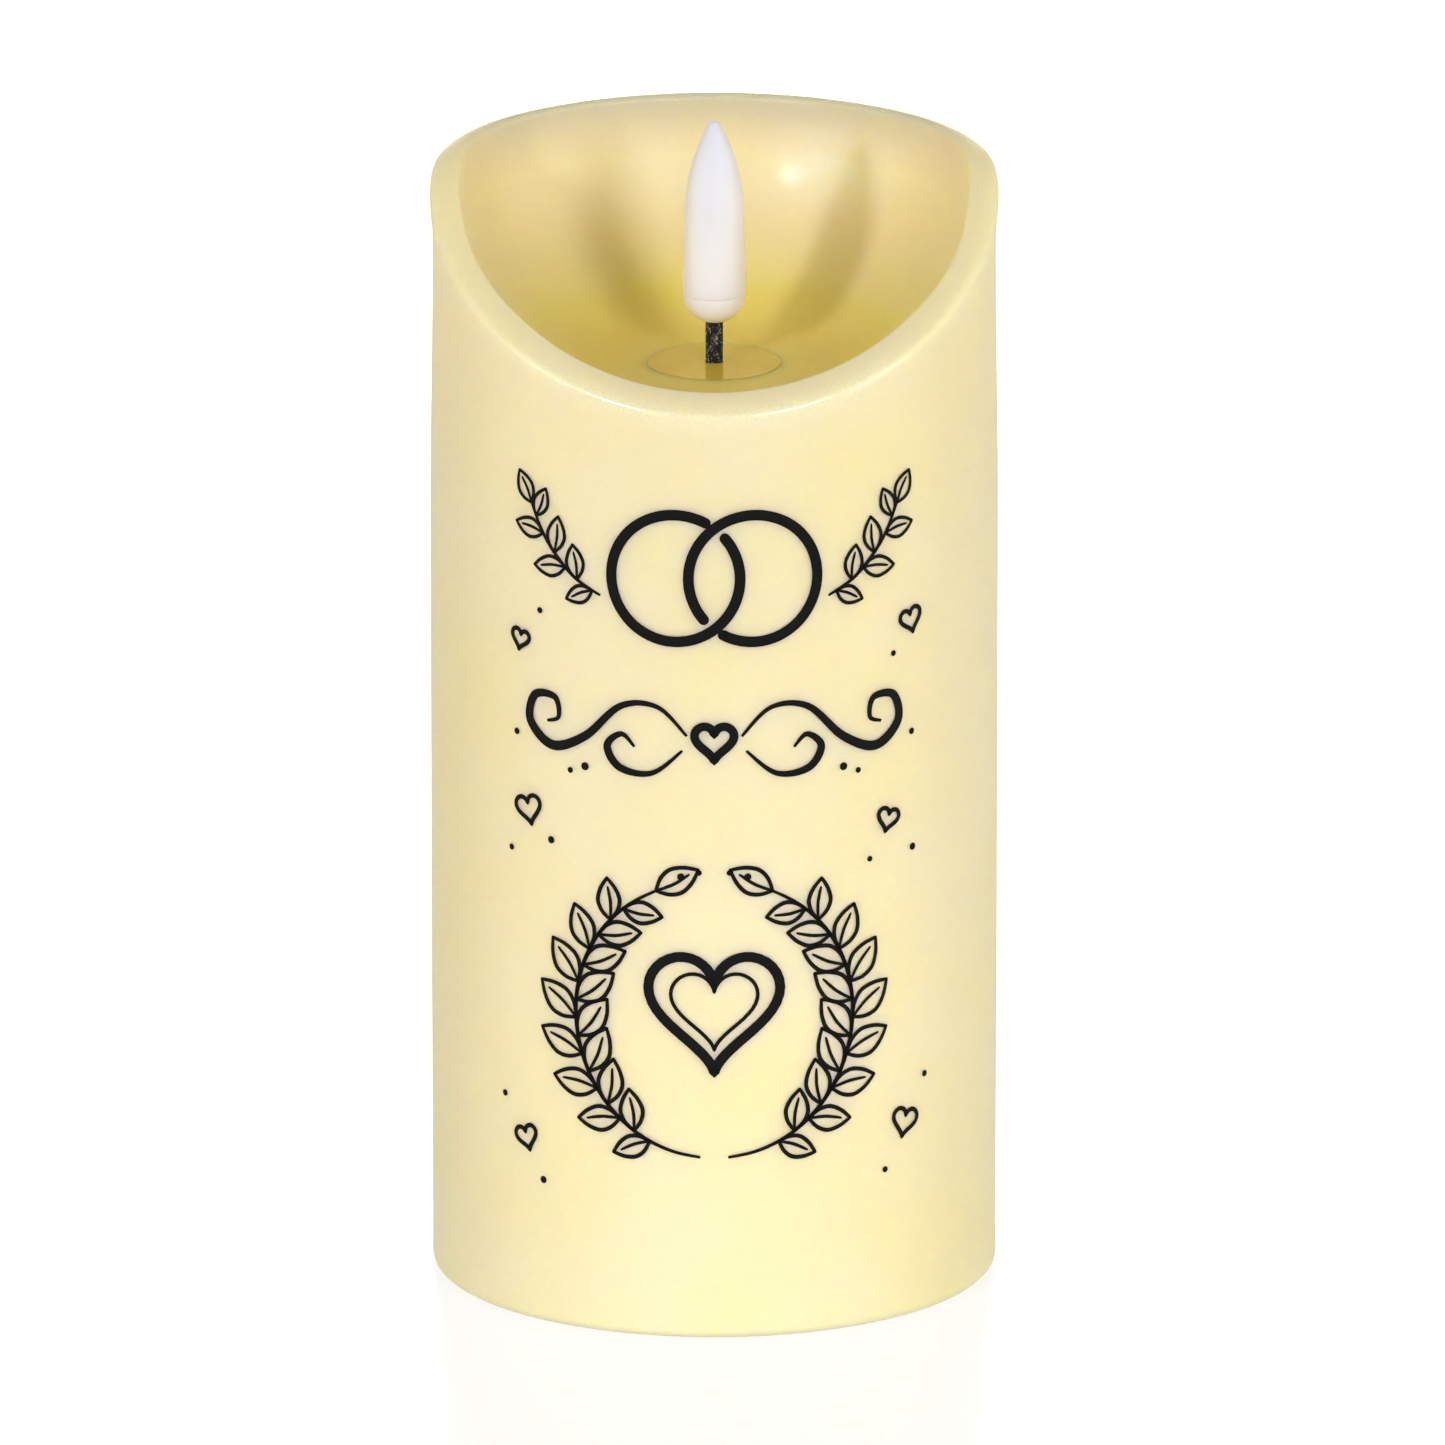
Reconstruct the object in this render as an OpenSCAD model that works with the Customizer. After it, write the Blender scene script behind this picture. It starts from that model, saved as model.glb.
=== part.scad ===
// Flameless pillar candle: a hollow wax pillar whose rim is level at the back and slopes down at the front,
// with a white lamp on a black wick in the bowl, and a battery base pressed into the foot.
// Millimetres, Z up, front towards -Y, origin at the centre of the foot.

/* [Wax pillar] */
// Outside diameter of the wax
pillar_d = 75; // [75:0.5:80]
// Height of the level back rim
pillar_h = 150; // [130:1:180]
// Thickness of the wax wall
wall_t = 4.2; // [3.8:0.1:4.5]
// Radius of the outer edge of the foot
foot_r = 1.5; // [0.6:0.1:1.8]

/* [Rim and bowl] */
// Rise over run of the sloping front cut
rim_slope = 0.592; // [0.45:0.002:0.7]
// How far behind the axis the slope meets the level rim
rim_break_y = 2.7; // [0:0.1:5]
// Length over which that break is eased
rim_ease = 4; // [2:0.5:6]
// Radius of the lip's outer edge
lip_r = 1; // [0.7:0.1:1.2]
// Radius of the lip's inner edge at the front, where it is crisp
lip_front_r = 0.5; // [0.4:0.05:0.8]
// Thickness of the wall at the back rim, where the bowl is widest
back_wall = 2; // [1.8:0.1:2.6]
// Radius of the flat middle of the bowl's floor
flat_r = 15; // [12:0.5:18]
// How far the lip stands proud of the wall below it
lip_bead = 0.2; // [0.1:0.05:0.3]
// Depth of the bowl floor below the lowest point of the rim
bowl_drop = 3.1; // [2:0.1:6]
// Thickness of the bowl floor
floor_t = 6; // [5:0.5:8]
// Diameter of the wick holder's disc in the floor
holder_d = 17.5; // [15:0.5:20]

/* [Lamp and wick] */
// Height of wick that shows above the floor
wick_show = 5.7; // [4:0.1:8]
// Width of the flat wick sleeve
wick_w = 2.4; // [2.4:0.1:3]
// Diameter of the lamp shell at its seam
lamp_d = 8.34; // [8:0.02:9]
// Height of the lamp shell above its seam
shell_h = 23.4; // [20:0.1:26]
// Height of the lamp cup below the seam
cup_h = 3.75; // [3.4:0.05:4.4]
// Wall of both lamp mouldings
lamp_wall = 0.8; // [0.6:0.05:0.9]

/* [Battery base] */
// How far the base plate is set up inside the foot
base_recess = 1; // [0.6:0.1:1.6]
// Height of the skirt that fits in the wax
skirt_h = 23; // [22:0.5:28]
// Thickness of the base plate
plate_t = 2; // [2:0.1:2.4]
// Wall of the skirt
skirt_t = 1.5; // [1.2:0.1:1.6]

/* [Switch] */
// Distance between switch positions
switch_step = 2; // [1.5:0.1:2]
// Width of the switch knob along its travel
knob_w = 3; // [2.6:0.1:3.2]

/* [Hidden] */
$fn = 96;

// Clearances
seat_gap = 0.2;
slide_gap = 0.05;
part_gap = 0.3;
weld = 0.02;

// Wax: radii and levels
pillar_r = pillar_d / 2;
bowl_r = pillar_r - wall_t;
socket_step = 0.7;
socket_r = bowl_r + socket_step;
front_lip_z = pillar_h - rim_slope * (pillar_r + rim_break_y);
floor_z = front_lip_z - bowl_drop;
ceiling_z = floor_z - floor_t;
base_top_z = base_recess + skirt_h;
wall_r = pillar_r - lip_bead;
lip_flat = 0.2;
lip_back_r = back_wall - lip_r - lip_flat;
bead_low = 3.2;
bead_mid = 1.9;
bead_high = 0.8;
rim_root = 3.5;
rim_weld = 2;
collar_r = bowl_r + 1.7;
bowl_steps = 12;
hollow_fillet = 6;
plug_gap = 0.15;
holder_hole_r = holder_d / 2 + plug_gap;
rim_steps = 96;
lip_steps = 6;

// Lamp: levels and radii
cup_z = floor_z + wick_show;
seam_z = cup_z + cup_h;
lamp_r = lamp_d / 2;
seam_step = 0.08;
cup_r = lamp_r - seam_step;
cup_land = 0.2;
cup_rim_z = seam_z - cup_land;
cup_hole_r = 1.5;
cup_floor_t = 1;
cup_floor_z = cup_z + cup_floor_t;
shoulder_z = 10.5;
shell_taper = 0.27;
shoulder_r = lamp_r - shell_taper;
tip_r = 0.9;
spigot_h = 1.2;
spigot_t = 0.6;
wick_t = 1.6;
wick_wall_x = 0.25;
wick_wall_y = 0.3;
wick_tail = 6;
wick_poke = 0.4;
wick_bottom_z = ceiling_z - wick_tail;
wick_top_z = cup_floor_z + wick_poke;
lead_x = 0.6;
lead_w = 0.45;
lead_tail = 1;
lead_bottom_z = wick_bottom_z - lead_tail;
led_r = 1.5;
led_h = 5.3;
led_flange_r = 1.9;
led_flange_t = 1;
holder_flange_r = 13;
holder_flange_t = 2;

// Battery cells, size AA
cell_r = 7.25;
cell_l = 50.3;
nub_l = 1.2;
nub_r = 2.75;
nub_edge = 0.4;
can_edge = 0.8;
crimp_edge = 0.6;
crimp_drop = 0.3;
button_r = 5.05;
cell_y = 7.4;

// Base: radii and levels
skirt_r = socket_r - seat_gap;
skirt_in_r = skirt_r - skirt_t;
plate_z = base_recess;
plate_top_z = plate_z + plate_t;
door_t = 1.6;
cell_lift = 0.1;
cell_z = plate_top_z + cell_lift + cell_r;

// Battery holder
holder_wall = 1.2;
holder_in_x = 27.8;
holder_in_y = 15.4;
holder_in_r = skirt_in_r - part_gap - holder_wall;
holder_head = 0.4;
holder_roof = 1.4;
holder_top_in_z = cell_z + cell_r + holder_head;
holder_top_z = holder_top_in_z + holder_roof;
divider_x = 20;
divider_t = 1.4;
divider_z = cell_z + 4.4;
ear_x = 21.5;
ear_y = 19.5;
ear_rise = 5;
ear_z = plate_top_z + ear_rise;
ear_t = 2;
boss_r = 2.6;
boss_hole_r = 1.15;
ear_hole_r = 1.3;
board_post_r = 2.3;
board_post_hole_r = 0.95;

// Door and its opening
open_x0 = -26.15;
open_x1 = 26;
open_y = 15.4;
open_corner = 1.5;
door_gap = 0.3;
hinge_x = -25.2;
hinge_z = plate_z + door_t / 2;
tongue_y = 12.3;
tongue_w = 3;
tongue_reach = 2.4;
tongue_z = plate_z + 0.65;
tongue_t = 0.55;
tongue_room = 0.35;
latch_w = 4;
latch_room = 0.5;
latch_t = 0.7;
latch_loop_r = 1.05;
latch_rise = 2;
hook_reach = 0.85;
hook_low = 0.08;
hook_lip = 0.25;
hook_high = 0.75;
tab_reach = 1.6;
ledge_t = 1.2;
finger_r = 5.2;
edge_gap = 0.35;
grip_count = 5;
grip_step = 1.1;
grip_w = 0.5;
grip_y = 5;
grip_depth = 0.35;
grip_inset = 4.6;

// Contacts
contact_t = 0.4;
contact_x = holder_in_x - contact_t;
contact_half = 4.5;
contact_rise = 5;
tab_half = 1.5;
tab_root = 4;
tab_slot = 0.2;
bump_h = 0.6;
bump_r = 2.2;
bump_tip_r = 1.4;
tab_show = 3;
tab_top_z = holder_top_z + tab_show;
spring_wire_r = 0.3;
spring_seat = spring_wire_r * cos(30);
spring_turns = 3;
spring_steps = 12;
spring_level = 0.5;
spring_base_r = 3.9;
spring_tip_r = 1.8;
spring_l = 2 * contact_x - cell_l - bump_h;

// Circuit board and switch
board_t = 1.6;
board_rise = 6.6;
board_z = plate_top_z + board_rise;
board_top_z = board_z + board_t;
board_y0 = 17.4;
board_y1 = 28;
board_x = 17;
board_hole_x = 14.5;
board_hole_y = 22.5;
board_hole_r = 1.1;
board_edge = 1.1;
switch_y = 22.5;
switch_l = 12.5;
switch_d = 5.4;
switch_h = 4.4;
switch_wall = 0.4;
switch_roof = 1.2;
shoe_x = 3.2;
shoe_y = 2.1;
shoe_t = 1.2;
knob_d = 2;
knob_inset = 0.35;
knob_groove = 0.3;
slot_room = 0.4;
slot_x = switch_step + knob_w / 2 + slot_room;
slot_y = knob_d / 2 + part_gap;
window_x = 8.5;
window_y = 4.5;
window_r = 2.5;
window_depth = 1;
guide_t = 1;
guide_gap = 0.1;
pin_x = 4;
pin_y = switch_y + 1.6;
pin_r = 0.4;
pin_hole_r = 0.55;
pin_show = 0.8;
slider_z = board_z - switch_h + switch_wall + slide_gap;

// Wires
wire_r = 0.45;
wire_end = 2;
wire_sides = 8;
pad_y = 19;

// Parts on the board
chip_at = [-8.6, 24.2];
chip_x = 1.95;
chip_y = 2.45;
chip_low = 0.15;
chip_high = 1.6;
leg_pitch = 1.27;
leg_w = 0.4;
leg_x0 = 1.9;
leg_x1 = 2.9;
leg_foot = 0.4;
leg_low = 0.6;
leg_high = 0.8;
resistor_places = [[8, 25.6], [8, 23.4], [4.5, 26.6]];
resistor_half = [0.7, 0.6];
resistor_h = 0.5;
resistor_cap = [0.65, 1.05, 0.62];
resistor_cap_h = 0.55;

// Screws: head radius, head height, shank radius, length under the head
holder_screw = [2.1, 1.5, 1.1, 6];
board_screw = [1.9, 1.3, 0.9, 6];
cross_w = 0.5;
cut = 1;

// Colours
wax_color = [0.96, 0.88, 0.63];
plug_color = [0.9, 0.79, 0.46];
lamp_color = [0.96, 0.95, 0.94];
soot_color = [0.07, 0.07, 0.07];
ivory_color = [0.93, 0.88, 0.74];
black_color = [0.1, 0.1, 0.11];
steel_color = [0.72, 0.73, 0.75];
cell_color = [0.16, 0.3, 0.24];
board_color = [0.08, 0.34, 0.2];
red_color = [0.75, 0.08, 0.07];
led_color = [0.95, 0.9, 0.7];

// Points on an arc
function arc_points(c, r, a0, a1, n) =
    [for (i = [0:n]) let (a = a0 + (a1 - a0) * i / n) c + r * [cos(a), sin(a)]];
function unit(v) = v / norm(v);
function bezier(p, t) =
    pow(1 - t, 3) * p[0] + 3 * t * pow(1 - t, 2) * p[1] + 3 * t * t * (1 - t) * p[2] + pow(t, 3) * p[3];
function bezier_path(p, n) = [for (i = [0:n]) bezier(p, i / n)];
function drop_first(list) = [for (i = [1:len(list) - 1]) list[i]];
function ease(low, high, x) = let (t = min(max((x - low) / (high - low), 0), 1)) t * t * (3 - 2 * t);
function rounded_points(x0, x1, y0, y1, r) = concat(
    arc_points([x1 - r, y1 - r], r, 0, 90, 6), arc_points([x0 + r, y1 - r], r, 90, 180, 6),
    arc_points([x0 + r, y0 + r], r, 180, 270, 6), arc_points([x1 - r, y0 + r], r, 270, 360, 6));

// Height of the lip at depth y: level behind the break, a straight slope before it
function rim_z(y) =
    let (d = y - rim_break_y) pillar_h + rim_slope * (d - sqrt(d * d + rim_ease * rim_ease)) / 2;

module rounded_slab(x0, x1, y0, y1, r, z, t) {
    translate([0, 0, z]) linear_extrude(t) polygon(rounded_points(x0, x1, y0, y1, r));
}

module box(x0, x1, y0, y1, z0, z1) {
    translate([x0, y0, z0]) cube([x1 - x0, y1 - y0, z1 - z0]);
}

// A closed tube along a path whose direction is never parallel to side
module tube(path, r, sides, side) {
    last = len(path) - 1;
    points = [for (i = [0:last])
        let (along = unit(path[min(i + 1, last)] - path[max(i - 1, 0)]),
             across = unit(cross(along, side)), up = cross(across, along))
        for (k = [0:sides - 1]) path[i] + r * (across * cos(360 * k / sides) + up * sin(360 * k / sides))];
    skin = [for (i = [0:last - 1], k = [0:sides - 1])
        let (a = i * sides + k, b = i * sides + (k + 1) % sides)
        each [[a, b, b + sides], [a, b + sides, a + sides]]];
    caps = [[for (k = [sides - 1:-1:0]) k], [for (k = [0:sides - 1]) last * sides + k]];
    polyhedron(points, concat(skin, caps), convexity = 10);
}

// One section of the wall above the floor: proud lip, rounded edges and the elliptic curve of the bowl.
// The inner edge is crisp at the front and broad at the back, where the wall is thinner.
function lip_section(angle) =
    let (dir = sin(angle), mouth_r = bowl_r + (wall_t - back_wall) * ease(-0.15, 0.8, dir),
         z1 = rim_z(pillar_r * dir), z0 = rim_z(mouth_r * dir), reach = pillar_r - mouth_r,
         m = (z0 - z1) / reach, n = sqrt(1 + m * m), turn = atan2(1, m),
         in_r = lip_front_r + (lip_back_r - lip_front_r) * ease(-0.62, 0.3, dir),
         c1 = [pillar_r - lip_r, z1 + m * lip_r - lip_r * n],
         c0 = [mouth_r + in_r, z1 + m * (reach - in_r) - in_r * n],
         depth = c0[1] - floor_z + weld)
    concat([[wall_r - weld, floor_z - rim_root], [wall_r - weld, c1[1] - bead_low],
        [wall_r + lip_bead / 2, c1[1] - bead_mid], [pillar_r - weld, c1[1] - bead_high]],
        arc_points(c1, lip_r, 0, turn, lip_steps), arc_points(c0, in_r, turn, 180, lip_steps),
        [for (i = [1:bowl_steps]) let (a = 90 * i / bowl_steps)
            [flat_r + (mouth_r - flat_r) * cos(a), c0[1] - depth * sin(a)]],
        [[flat_r, floor_z - rim_root]]);

// The sections joined round the axis into one skin
module rim_wall() {
    sections = [for (i = [0:rim_steps - 1]) lip_section(360 * i / rim_steps)];
    count = len(sections[0]);
    points = [for (i = [0:rim_steps - 1]) let (a = 360 * i / rim_steps)
        for (p = sections[i]) [p[0] * cos(a), p[0] * sin(a), p[1]]];
    faces = [for (i = [0:rim_steps - 1], j = [0:count - 1])
        let (a = i * count + j, b = i * count + (j + 1) % count,
             c = ((i + 1) % rim_steps) * count + (j + 1) % count, d = ((i + 1) % rim_steps) * count + j)
        each [[a, b, c], [a, c, d]]];
    polyhedron(points, faces, convexity = 10);
}

module wax_pillar() {
    weld_z = floor_z - rim_weld;
    profile = concat(
        [[socket_r, 0]],
        arc_points([wall_r - foot_r, foot_r], foot_r, -90, 0, 6),
        [[wall_r, weld_z], [collar_r, weld_z], [collar_r, floor_z], [holder_hole_r, floor_z],
         [holder_hole_r, ceiling_z]],
        arc_points([bowl_r - hollow_fillet, ceiling_z - hollow_fillet], hollow_fillet, 90, 0, 8),
        [[bowl_r, base_top_z], [socket_r, base_top_z]]);
    color(wax_color) union() {
        rotate_extrude() polygon(profile);
        rim_wall();
    }
}

module stadium(w, t, z0, z1) {
    rounded_slab(-w / 2, w / 2, -t / 2, t / 2, t / 2 - 0.001, z0, z1 - z0);
}

// Disc in the bowl floor, with the flange that is glued under it
module wick_holder() {
    color(plug_color) difference() {
        union() {
            translate([0, 0, ceiling_z - cut]) cylinder(r = holder_d / 2, h = floor_t + cut);
            translate([0, 0, ceiling_z - holder_flange_t]) cylinder(r = holder_flange_r, h = holder_flange_t);
        }
        stadium(wick_w, wick_t, ceiling_z - holder_flange_t - cut, floor_z + cut);
    }
}

module wick_sleeve() {
    color(soot_color) difference() {
        stadium(wick_w, wick_t, wick_bottom_z, wick_top_z);
        stadium(wick_w - 2 * wick_wall_x, wick_t - 2 * wick_wall_y, wick_bottom_z - cut, wick_top_z + cut);
    }
}

// Round-bottomed cup that grips the wick, with a spigot for the shell
module lamp_cup() {
    depth = (cup_h - cup_land) / sqrt(1 - pow(cup_hole_r / cup_r, 2));
    bowl_a = asin(cup_hole_r / cup_r);
    outside = [for (i = [0:10]) let (a = bowl_a + (90 - bowl_a) * i / 10)
        [cup_r * sin(a), cup_rim_z - depth * cos(a)]];
    in_r = cup_r - lamp_wall;
    in_depth = (cup_rim_z - cup_floor_z) / cos(30);
    inside = [for (i = [2:8]) let (a = 90 - 60 * i / 8) [in_r * sin(a), cup_rim_z - in_depth * cos(a)]];
    spigot_r = lamp_r - lamp_wall - slide_gap;
    spigot_in_r = spigot_r - spigot_t;
    color(lamp_color) difference() {
        rotate_extrude() polygon(concat(
            [[0, outside[0][1]]], outside,
            [[cup_r, seam_z], [spigot_r, seam_z], [spigot_r, seam_z + spigot_h],
             [spigot_in_r, seam_z + spigot_h], [spigot_in_r, cup_rim_z]],
            inside, [[0, cup_floor_z]]));
        stadium(wick_w, wick_t, cup_z - cut, cup_floor_z + cut);
    }
}

// Outline of a pointed dome: a tapering side, an arc and a small round tip
function dome_points(foot, side, rise, tip, h) =
    let (q = h - tip - rise, sweep = (side * side - tip * tip + q * q) / (2 * (side - tip)),
         turn = atan2(q, sweep - side))
    concat([[foot, 0]], arc_points([side - sweep, rise], sweep, 0, turn, 14),
        drop_first(arc_points([0, h - tip], tip, turn, 90, 5)));

module lamp_shell() {
    outside = dome_points(lamp_r, shoulder_r, shoulder_z, tip_r, shell_h);
    inside = dome_points(lamp_r - lamp_wall, shoulder_r - lamp_wall, shoulder_z, tip_r / 2,
        shell_h - lamp_wall);
    color(lamp_color) translate([0, 0, seam_z]) rotate_extrude()
        polygon(concat(outside, [for (i = [len(inside) - 1:-1:0]) inside[i]]));
}

module lamp_led() {
    color(led_color) {
        translate([0, 0, wick_top_z]) rotate_extrude() polygon(concat(
            [[0, 0], [led_flange_r, 0], [led_flange_r, led_flange_t], [led_r, led_flange_t]],
            arc_points([0, led_h - led_r], led_r, 0, 90, 8)));
        for (side = [-1, 1])
            box(side * lead_x - lead_w / 2, side * lead_x + lead_w / 2, -lead_w / 2, lead_w / 2,
                lead_bottom_z, wick_top_z + led_flange_t / 2);
    }
}

// Two wires that hang from the wick and come down on the board
module lamp_wire(side, pad_x) {
    middle = [side * 2 - 2, 9, (lead_bottom_z + board_top_z) / 2];
    start = [side * lead_x, 0, lead_bottom_z];
    finish = [pad_x, pad_y, board_top_z];
    leave = start - [0, 0, wire_end];
    land = finish + [0, 0, wire_end];
    upper = bezier_path([leave, leave - [0, 0, 23], middle + [0, -5, 15], middle], 14);
    lower = bezier_path([middle, middle + [0, 5, -15], land + [0, 0, 26], land], 14);
    tube(concat([start], upper, drop_first(lower), [finish]), wire_r, wire_sides, [1, 0, 0]);
}

module lamp_wire_red() {
    color(red_color) lamp_wire(1, -3);
}

module lamp_wire_black() {
    color(black_color) lamp_wire(-1, -6);
}

module screw_post(x, y, r, top, hole_r) {
    translate([x, y, plate_top_z - cut]) difference() {
        cylinder(r = r, h = top - plate_top_z + cut);
        translate([0, 0, cut + part_gap]) cylinder(r = hole_r, h = top);
    }
}

module at_ears() {
    for (sx = [-1, 1], sy = [-1, 1]) translate([sx * ear_x, sy * ear_y, 0]) children();
}

// Moulded cup that closes the foot: plate, skirt, posts, door opening and switch window
module base_cap() {
    color(ivory_color) union() {
        difference() {
            translate([0, 0, plate_z]) difference() {
                cylinder(r = skirt_r, h = skirt_h);
                translate([0, 0, plate_t]) cylinder(r = skirt_in_r, h = skirt_h);
            }
            rounded_slab(open_x0, open_x1, -open_y, open_y, open_corner, plate_z - cut, plate_t + 2 * cut);
            for (s = [-1, 1])
                translate([0, s * tongue_y, 0])
                    box(hinge_x - tongue_reach - tongue_room, open_x0 + cut, -tongue_w / 2 - part_gap,
                        tongue_w / 2 + part_gap, tongue_z - slide_gap, plate_top_z + cut);
            translate([open_x1 + cut, 0, plate_z - cut]) cylinder(r = finger_r, h = cut + plate_t - ledge_t);
            rounded_slab(-window_x, window_x, switch_y - window_y, switch_y + window_y, window_r,
                plate_z - cut, cut + window_depth);
            box(-slot_x, slot_x, switch_y - slot_y, switch_y + slot_y, plate_z - cut, plate_top_z + cut);
        }
        for (sx = [-1, 1], sy = [-1, 1]) screw_post(sx * ear_x, sy * ear_y, boss_r, ear_z, boss_hole_r);
        for (s = [-1, 1])
            screw_post(s * board_hole_x, board_hole_y, board_post_r, board_z, board_post_hole_r);
        difference() {
            box(-slot_x - guide_t, slot_x + guide_t, switch_y - slot_y - guide_t, switch_y + slot_y + guide_t,
                plate_top_z - cut / 2, board_z - switch_h - guide_gap);
            box(-slot_x, slot_x, switch_y - slot_y, switch_y + slot_y, plate_z, board_z);
        }
    }
}

module holder_plan(inset, z0, z1) {
    intersection() {
        box(-holder_in_x - holder_wall + inset, holder_in_x + holder_wall - inset,
            -holder_in_y - holder_wall + inset, holder_in_y + holder_wall - inset, z0, z1);
        translate([0, 0, z0]) cylinder(r = holder_in_r + holder_wall - inset, h = z1 - z0);
    }
}

// Trough over the two cells, screwed down at four ears
module battery_holder() {
    color(black_color) difference() {
        union() {
            holder_plan(0, plate_top_z, holder_top_z);
            at_ears() translate([0, 0, ear_z]) cylinder(r = boss_r, h = ear_t);
            for (sx = [-1, 1], sy = [-1, 1]) {
                y0 = sy * (holder_in_y + holder_wall / 2);
                y1 = sy * ear_y;
                box(sx * ear_x - boss_r, sx * ear_x + boss_r, min(y0, y1), max(y0, y1), ear_z, ear_z + ear_t);
            }
        }
        difference() {
            holder_plan(holder_wall, plate_top_z - cut, holder_top_in_z);
            box(-divider_x, divider_x, -divider_t / 2, divider_t / 2, divider_z, holder_top_z);
        }
        at_ears() translate([0, 0, ear_z - cut]) cylinder(r = ear_hole_r, h = ear_t + 2 * cut);
        for (s = [-1, 1])
            box(contact_x - tab_slot / 2, holder_in_x + tab_slot / 2, s * cell_y - tab_half - tab_slot,
                s * cell_y + tab_half + tab_slot, holder_top_in_z - cut, holder_top_z + cut);
    }
}

// Pan-head screw standing on its seat, with a cross recess
module pan_screw(size) {
    head_r = size[0];
    head_h = size[1];
    crown = head_h * 0.6;
    slot = head_r * 0.6;
    difference() {
        union() {
            rotate_extrude() polygon(concat([[0, 0], [head_r, 0]],
                arc_points([head_r - crown, head_h - crown], crown, 0, 90, 6), [[0, head_h]]));
            translate([0, 0, -size[3]]) cylinder(r = size[2], h = size[3] + cut / 4);
        }
        for (a = [0, 90]) rotate(a) box(-slot, slot, -cross_w / 2, cross_w / 2, head_h / 2, head_h + cut);
    }
}

module holder_screws() {
    color(steel_color) at_ears() translate([0, 0, ear_z + ear_t]) pan_screw(holder_screw);
}

// Door: round nose and two tongues at one end, a springy hooked latch at the other
module battery_door() {
    edge_x = open_x1 - edge_gap;
    top_z = plate_z + door_t;
    side_y = open_y - door_gap;
    nose_y = open_y - open_corner;
    leg_x = edge_x - 2 * latch_t;
    loop = [edge_x - latch_loop_r, top_z + latch_rise];
    root_z = top_z - 0.4;
    color(ivory_color) union() {
        difference() {
            union() {
                rounded_slab(hinge_x, edge_x, -side_y, side_y, open_corner - door_gap, plate_z, door_t);
                translate([hinge_x, nose_y, hinge_z]) rotate([90, 0, 0])
                    cylinder(r = door_t / 2, h = 2 * nose_y);
                for (s = [-1, 1]) translate([0, s * tongue_y, 0])
                    box(hinge_x - tongue_reach, hinge_x, -tongue_w / 2, tongue_w / 2,
                        tongue_z, tongue_z + tongue_t);
            }
            box(leg_x, edge_x + cut, -latch_w / 2 - latch_room, latch_w / 2 + latch_room,
                plate_z - cut, top_z + cut);
            for (i = [0:grip_count - 1]) translate([edge_x - grip_inset - grip_step * i, 0, 0])
                box(0, grip_w, -grip_y, grip_y, plate_z - cut, plate_z + grip_depth);
        }
        translate([0, latch_w / 2, 0]) rotate([90, 0, 0]) linear_extrude(latch_w) polygon(concat(
            [[leg_x - latch_t, root_z]],
            arc_points(loop, latch_loop_r, 180, 0, 8),
            [[edge_x, plate_top_z + hook_high], [edge_x + hook_reach, plate_top_z + hook_lip],
             [edge_x + hook_reach, plate_top_z + hook_low], [edge_x, plate_top_z + hook_low],
             [edge_x, plate_z + latch_t], [edge_x + tab_reach, plate_z + latch_t],
             [edge_x + tab_reach, plate_z], [edge_x - latch_t, plate_z]],
            arc_points(loop, latch_loop_r - latch_t, 0, 180, 6),
            [[leg_x, root_z]]));
    }
}

// AA cell along X: can with a crimped shoulder, raised nub at the positive end
module battery_cell(y, way) {
    color(cell_color) translate([way * (contact_x - bump_h), y, cell_z]) rotate([0, -90 * way, 0])
        rotate_extrude() polygon(concat(
            [[0, 0]], arc_points([nub_r - nub_edge, nub_edge], nub_edge, -90, 0, 4), [[nub_r, nub_l]],
            arc_points([cell_r - can_edge, nub_l + can_edge], can_edge, -90, 0, 5),
            arc_points([cell_r - crimp_edge, cell_l - crimp_edge - crimp_drop], crimp_edge, 0, 90, 4),
            [[button_r + crimp_drop, cell_l - crimp_drop], [button_r, cell_l], [0, cell_l]]));
}

module battery_cell_front() {
    battery_cell(-cell_y, 1);
}

module battery_cell_rear() {
    battery_cell(cell_y, -1);
}

// Stamped plate on the holder's end wall
module contact_plate(x, y0, y1) {
    box(x, x + contact_t, y0, y1, cell_z - contact_rise, cell_z + contact_rise);
}

module contact_tab(y) {
    box(contact_x, contact_x + contact_t, y - tab_half, y + tab_half, cell_z + tab_root, tab_top_z);
}

module contact_bump(x, y, way) {
    translate([x, y, cell_z]) rotate([0, -90 * way, 0]) cylinder(r1 = bump_r, r2 = bump_tip_r, h = bump_h);
}

// Conical coil from the plate to the cell, level for the first and last half turn
function coil_points(x, y, way) = [for (i = [0:spring_steps * spring_turns]) let (
    turn = i / spring_steps, rise = min(max((turn - spring_level) / (spring_turns - 2 * spring_level), 0), 1),
    r = spring_base_r + (spring_tip_r - spring_base_r) * turn / spring_turns,
    run = spring_seat + (spring_l - 2 * spring_seat) * rise)
    [x - way * run, y + r * cos(360 * turn), cell_z + r * sin(360 * turn)]];

// Least distance between wires a half turn or more apart
function coil_gap(p) =
    let (apart = spring_steps / 2 + 1, last = len(p) - 1)
    min([for (i = [0:last], j = [i + apart:1:last]) norm(p[i] - p[j])]) - 2 * spring_wire_r;

module coil(x, y, way) {
    path = coil_points(x, y, way);
    echo(spring_gap = coil_gap(path));
    tube(path, spring_wire_r, 6, [1, 0, 0]);
}

module positive_contact() {
    color(steel_color) union() {
        contact_plate(contact_x, -cell_y - contact_half, -cell_y + contact_half);
        contact_tab(-cell_y);
        contact_bump(contact_x, -cell_y, 1);
    }
}

module negative_contact() {
    color(steel_color) union() {
        contact_plate(contact_x, cell_y - contact_half, cell_y + contact_half);
        contact_tab(cell_y);
    }
}

module negative_spring() {
    color(steel_color) coil(contact_x, cell_y, 1);
}

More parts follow.
